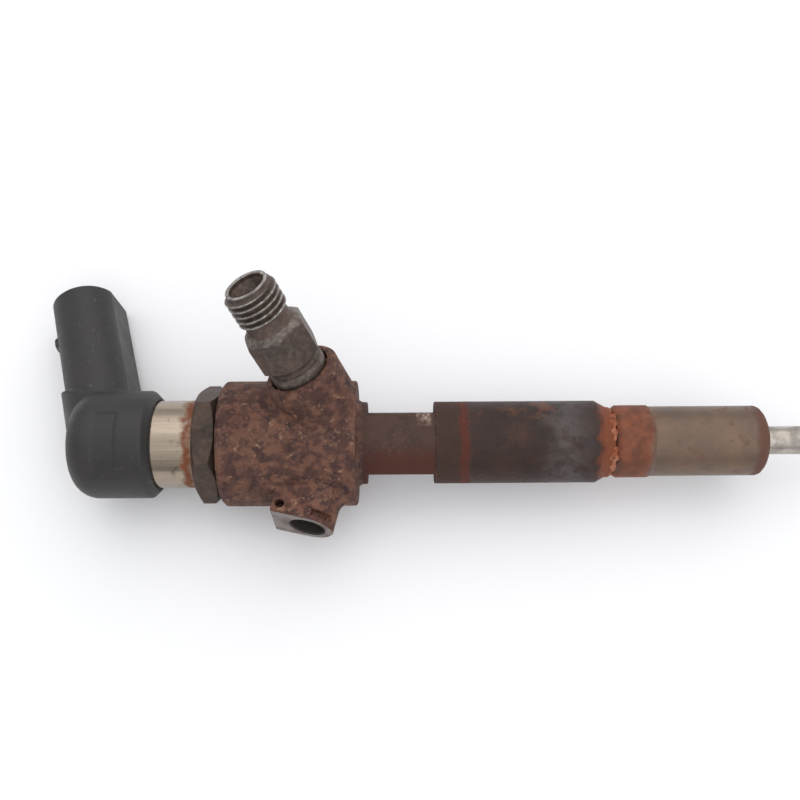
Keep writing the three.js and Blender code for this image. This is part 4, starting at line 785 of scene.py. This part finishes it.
stub_corner = INLET_HEX / 2 / math.cos(math.pi / 6)
torus = np.linspace(-np.pi / 2, np.pi / 2, 12)
stub_profile = filled([
    (17.8, 1.0), (17.8, 4.95), (23.2, 4.95), (23.2, 5.9),
    *zip(25.0 + 1.75 * np.sin(torus), 5.9 + 0.65 * np.cos(torus)),
    (27.6, 5.75), (28.4, 6.0), (29.4, stub_corner), (36.5, stub_corner), (38.3, 5.65), (38.9, 5.3),
    (39.6, 5.2), (40.6, THREAD_ROOT), (48.3, THREAD_ROOT), (INLET_MOUTH, 4.85),
    (INLET_MOUTH, 4.2), (INLET_MOUTH - 0.2, 4.05), (INLET_MOUTH - 1, 4.0), (44.6, 2.1), (36.0, 2.1),
], 0.09)
clock = np.linspace(0, 2 * np.pi, 192, endpoint=False)[None, :]
along, radius = stub_profile[:, :1], stub_profile[:, 1:] + 0 * clock
outside = np.arange(len(stub_profile))[:, None] <= int(np.argmax(stub_profile[:, 0] >= INLET_MOUTH - 1e-6))
hexed = (along > 27.6) & (along < 38.3) & outside
radius = np.where(hexed, np.minimum(radius, hexagonal(clock, INLET_HEX, STUB_HEX_CLOCK)), radius)
phase = np.mod((along - THREAD_START) / THREAD_PITCH - clock / (2 * np.pi), 1)
tooth = np.clip(1.25 - np.abs(phase - 0.5) * 3.6, 0, 1)
threaded = window(along, THREAD_START + 0.6, THREAD_END - 0.7, 0.6) * outside
radius = radius + tooth * threaded * (THREAD_CREST - THREAD_ROOT) * (radius < THREAD_ROOT + 0.3)
stub = skin("inlet_stub", inlet_frame, along, radius * np.cos(clock), radius * np.sin(clock))

stub_finish, tree, shader, spot = started("phosphated_inlet_steel")
wear_and_highlight = tree.nodes.new("ShaderNodeAttribute")
wear_and_highlight.attribute_name = "rubbed_and_highlight"
rust = grouped(tree, patches, spot, "Mask", Scale=200.0, Cover=0.45, Soft=0.12)
fine = grouped(tree, patches, spot, "Mask", Scale=800.0, Cover=0.42, Soft=0.1)
cloud = grouped(tree, patches, spot, "Cloud", Scale=1500.0)
bright = sums(tree, "MULTIPLY", wear_and_highlight.outputs["Fac"], sums(tree, "ADD", 0.45, fine), True)
colour = mixed(tree, rust, paint("4a403b"), paint("5f4e45"))
colour = mixed(tree, sums(tree, "MULTIPLY", fine, 0.35), colour, paint("786a60"))
colour = mixed(tree, bright, colour, paint("aeaaa5"))
tree.links.new(colour, shader.inputs["Base Color"])
tree.links.new(sums(tree, "ADD", 0.55, sums(tree, "MULTIPLY", bright, 0.4)), shader.inputs["Metallic"])
tree.links.new(sums(tree, "SUBTRACT", 0.5, sums(tree, "MULTIPLY", bright, 0.22)), shader.inputs["Roughness"])
relief(tree, shader, cloud, 0.00007, 0.8)
rubbed_and_highlight = np.clip((radius - THREAD_ROOT - 0.55) / 0.25, 0, 1) * threaded
rubbed_and_highlight = np.maximum(rubbed_and_highlight, window(along, INLET_MOUTH - 0.1, INLET_MOUTH + 1, 0.1) * 0.8)
rubbed_and_highlight = np.maximum(rubbed_and_highlight, window(along, 37.0, 38.2, 0.3) * outside * 0.2)
# The collar's rounded crown is lightened a little all round: a painted highlight, where the other marks here
# are wear.
rubbed_and_highlight = np.maximum(rubbed_and_highlight, window(along, 24.0, 26.2, 0.6) * outside * 0.12)
shares = np.append(rubbed_and_highlight.ravel(), [0.0, 0.0]).astype(np.float32)
stub.data.attributes.new("rubbed_and_highlight", "FLOAT", "POINT").data.foreach_set("value", shares)
stub.data.materials.append(stub_finish)
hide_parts("inlet_connector")
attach(stub, "injector")


# ---- nozzle nut -----------------------------------------------------------------------------
# A turned steel sleeve nut that pulls the nozzle onto the body. It has a slightly larger band
# by the body, rusted orange, and the rest is blued and browned by heat.

NUT_START = 92.35
NUT_END = 128.45
NUT_RADIUS = 8.35
BAND_RADIUS = 8.65
BAND_LENGTH = 8.4
nozzle_nut = round_about("heat_browned_nozzle_nut", axis_frame, [
    (NUT_START, 7.3), (NUT_START, BAND_RADIUS - 1.1), (NUT_START + 0.4, BAND_RADIUS - 0.5),
    (NUT_START + 1.1, BAND_RADIUS), (NUT_START + BAND_LENGTH, BAND_RADIUS),
    (NUT_START + BAND_LENGTH + 0.5, NUT_RADIUS), (NUT_END - 1.9, NUT_RADIUS),
    (NUT_END - 1.3, NUT_RADIUS - 0.25), (NUT_END - 0.6, NUT_RADIUS - 1.0), (NUT_END - 0.1, 6.4),
    (NUT_END, 5.9), (NUT_END, 3.95), (125.4, 3.95), (125.4, 7.3),
], step=0.4, columns=224, closed=True)

nozzle_nut_finish, tree, shader, spot = started("heat_browned_steel")
broad = grouped(tree, patches, spot, "Mask", Scale=70.0, Cover=0.5, Soft=0.2)
rust = grouped(tree, patches, spot, "Mask", Scale=260.0, Cover=0.5, Soft=0.1)
few = grouped(tree, patches, spot, "Mask", Scale=330.0, Cover=0.28, Soft=0.06)
cloud = grouped(tree, patches, spot, "Cloud", Scale=1100.0)
orange = grouped(tree, band, spot, "Mask", From=station(91), To=station(101.5), Soft=0.0016, Ragged=0.006)
last = grouped(tree, band, spot, "Mask", From=station(124.4), To=station(130), Soft=0.0014, Ragged=0.004)
colour = mixed(tree, broad, paint("5e5049"), paint("7c6553"))
colour = mixed(tree, sums(tree, "MULTIPLY", few, 0.7), colour, paint("6c4330"))
colour = mixed(tree, sums(tree, "MULTIPLY", orange, 0.92), colour, mixed(
    tree, rust, paint("63341f"), paint("83462b")))
colour = mixed(tree, sums(tree, "MULTIPLY", last, 0.75), colour, paint("5e3526"))
tree.links.new(colour, shader.inputs["Base Color"])
covered = sums(tree, "MAXIMUM", orange, sums(tree, "MAXIMUM", few, last), True)
tree.links.new(sums(tree, "SUBTRACT", 0.6, sums(tree, "MULTIPLY", covered, 0.55)), shader.inputs["Metallic"])
tree.links.new(sums(tree, "ADD", 0.42, sums(tree, "MULTIPLY", covered, 0.3)), shader.inputs["Roughness"])
relief(tree, shader, sums(tree, "MULTIPLY", cloud, sums(tree, "ADD", 0.35, covered)), 0.0002, 0.8)
nozzle_nut.data.materials.append(nozzle_nut_finish)
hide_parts("nozzle_nut")
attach(nozzle_nut, "injector")


# ---- rust crust in the groove ---------------------------------------------------------------
# Crumbly orange rust and scale that has grown in the groove between the body's cone and the
# nozzle nut. A ring whose thickness wanders, so that it looks broken into lumps.

CRUST_MIDDLE = 91.6
CRUST_RADIUS = 7.4
clock = np.linspace(0, 2 * np.pi, 300, endpoint=False)[None, :]
round_section = np.linspace(0, 2 * np.pi, 28, endpoint=False)[:, None]
lump = 0.55 + 0.22 * np.sin(5 * clock + 1.1) + 0.16 * np.sin(11 * clock + 0.4) + 0.12 * np.sin(23 * clock)
lump = lump * (1 + 0.18 * np.sin(17 * clock + 3 * round_section))
along = CRUST_MIDDLE - 1.7 * lump * np.cos(round_section)
radius = CRUST_RADIUS + 1.35 * lump * np.sin(round_section)
crust = skin("groove_crust", axis_frame, along, radius * np.cos(clock), radius * np.sin(clock), closed=True)
crust_finish, tree, shader, spot = started("crumbly_rust")
rust = grouped(tree, patches, spot, "Mask", Scale=420.0, Cover=0.5, Soft=0.12)
grains = grouped(tree, specks, spot, "Mask", Scale=900.0, Size=0.4, Share=0.3)
cloud = grouped(tree, patches, spot, "Cloud", Scale=800.0)
colour = mixed(tree, rust, paint("8a4c34"), paint("b47a60"))
colour = mixed(tree, sums(tree, "MULTIPLY", grains, 0.6), colour, paint("5a4038"))
tree.links.new(colour, shader.inputs["Base Color"])
shader.inputs["Roughness"].default_value = 0.9
shader.inputs["Specular IOR Level"].default_value = 0.2
relief(tree, shader, cloud, 0.0005)
crust.data.materials.append(crust_finish)
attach(crust, "injector")


# ---- nozzle ---------------------------------------------------------------------------------
# The hardened steel nozzle: a ground stem out of the nut's end that tapers to a small dome;
# its spray holes are not drawn. It is bright, with soot specks towards the tip.

NOZZLE_TIP = 152.45
STEM_RADIUS = 3.37
dome = np.linspace(0, np.pi / 2, 8)
nozzle = round_about("ground_nozzle", axis_frame, [
    (106.6, 3.0), (106.6, 6.95), (125.0, 6.95), (125.0, 3.6), (126.5, STEM_RADIUS),
    (NOZZLE_TIP - 4.6, STEM_RADIUS), (NOZZLE_TIP - 3.6, 2.9), (NOZZLE_TIP - 1.0, 1.35),
    *zip(NOZZLE_TIP - 1.0 + 0.98 * np.sin(dome), 0.02 + 1.28 * np.cos(dome)),
], step=0.3, columns=128)
nozzle_finish, tree, shader, spot = started("ground_nozzle_steel")
rings = grouped(tree, turning, spot, "Height", Scale=7000.0)
soot = grouped(tree, patches, spot, "Mask", Scale=300.0, Cover=0.4, Soft=0.12)
tip = grouped(tree, band, spot, "Mask", From=station(140), To=station(156), Soft=0.009, Ragged=0.006)
soot = sums(tree, "MAXIMUM", sums(tree, "MULTIPLY", soot, 0.55), sums(tree, "MULTIPLY", tip, 0.8), True)
colour = mixed(tree, soot, paint("b5ada4"), paint("4c4642"))
tree.links.new(colour, shader.inputs["Base Color"])
tree.links.new(sums(tree, "SUBTRACT", 1.0, sums(tree, "MULTIPLY", soot, 0.6)), shader.inputs["Metallic"])
tree.links.new(sums(tree, "ADD", 0.28, sums(tree, "MULTIPLY", soot, 0.35)), shader.inputs["Roughness"])
relief(tree, shader, rings, 0.000012)
nozzle.data.materials.append(nozzle_finish)
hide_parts("nozzle_body")
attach(nozzle, "injector")


# ---- inner pieces ---------------------------------------------------------------------------
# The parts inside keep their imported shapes. Ground and turned steel, spring wire, ceramic,
# rubber, copper and plated contacts each get their own finish.


def inner_finish(name, first, second, metallic, roughness, scale, depth, ringed=0.0):
    """A clean finish: two close tones in small clouds, with rings where it was turned."""
    material, tree, shader, spot = started(name)
    cloud = grouped(tree, patches, spot, "Cloud", Scale=scale)
    rings = grouped(tree, turning, spot, "Height", Scale=6500.0)
    tree.links.new(mixed(tree, cloud, paint(first), paint(second)), shader.inputs["Base Color"])
    shader.inputs["Metallic"].default_value = metallic
    tree.links.new(
        sums(tree, "ADD", roughness, sums(tree, "MULTIPLY", cloud, 0.12)), shader.inputs["Roughness"])
    relief(tree, shader, sums(tree, "ADD", cloud, sums(tree, "MULTIPLY", rings, ringed)), depth)
    return material


inner_finishes = {
    "inner_steel": inner_finish("oiled_inner_steel", "8f8b85", "a8a49d", 1.0, 0.26, 700.0, 0.00001, 1.0),
    "ground_steel": inner_finish("ground_valve_steel", "b3b0aa", "c4c1bb", 1.0, 0.14, 1200.0, 0.000005, 1.0),
    "spring_steel": inner_finish("blued_spring_wire", "5f6470", "7a7f8a", 1.0, 0.28, 900.0, 0.00001),
    "stack_ceramic": inner_finish("stacked_ceramic", "4a4d45", "5a5d53", 0.0, 0.5, 600.0, 0.00002, 1.5),
    "seal_rubber": inner_finish("seal_rubber", "171717", "242424", 0.0, 0.62, 1500.0, 0.00002),
    "seal_copper": inner_finish("annealed_copper", "a9613f", "bf7a56", 1.0, 0.3, 800.0, 0.00001),
    "terminal_brass": inner_finish("plated_contact", "b8a66e", "cdbd88", 1.0, 0.26, 900.0, 0.000008),
}
slots = {part["node"]: part["material_slot"] for part in frame["record"]["subparts"]}
for name, node in frame["nodes"].items():
    if slots[name] in inner_finishes:
        if node.data.materials:
            node.data.materials[0] = inner_finishes[slots[name]]
        else:
            node.data.materials.append(inner_finishes[slots[name]])
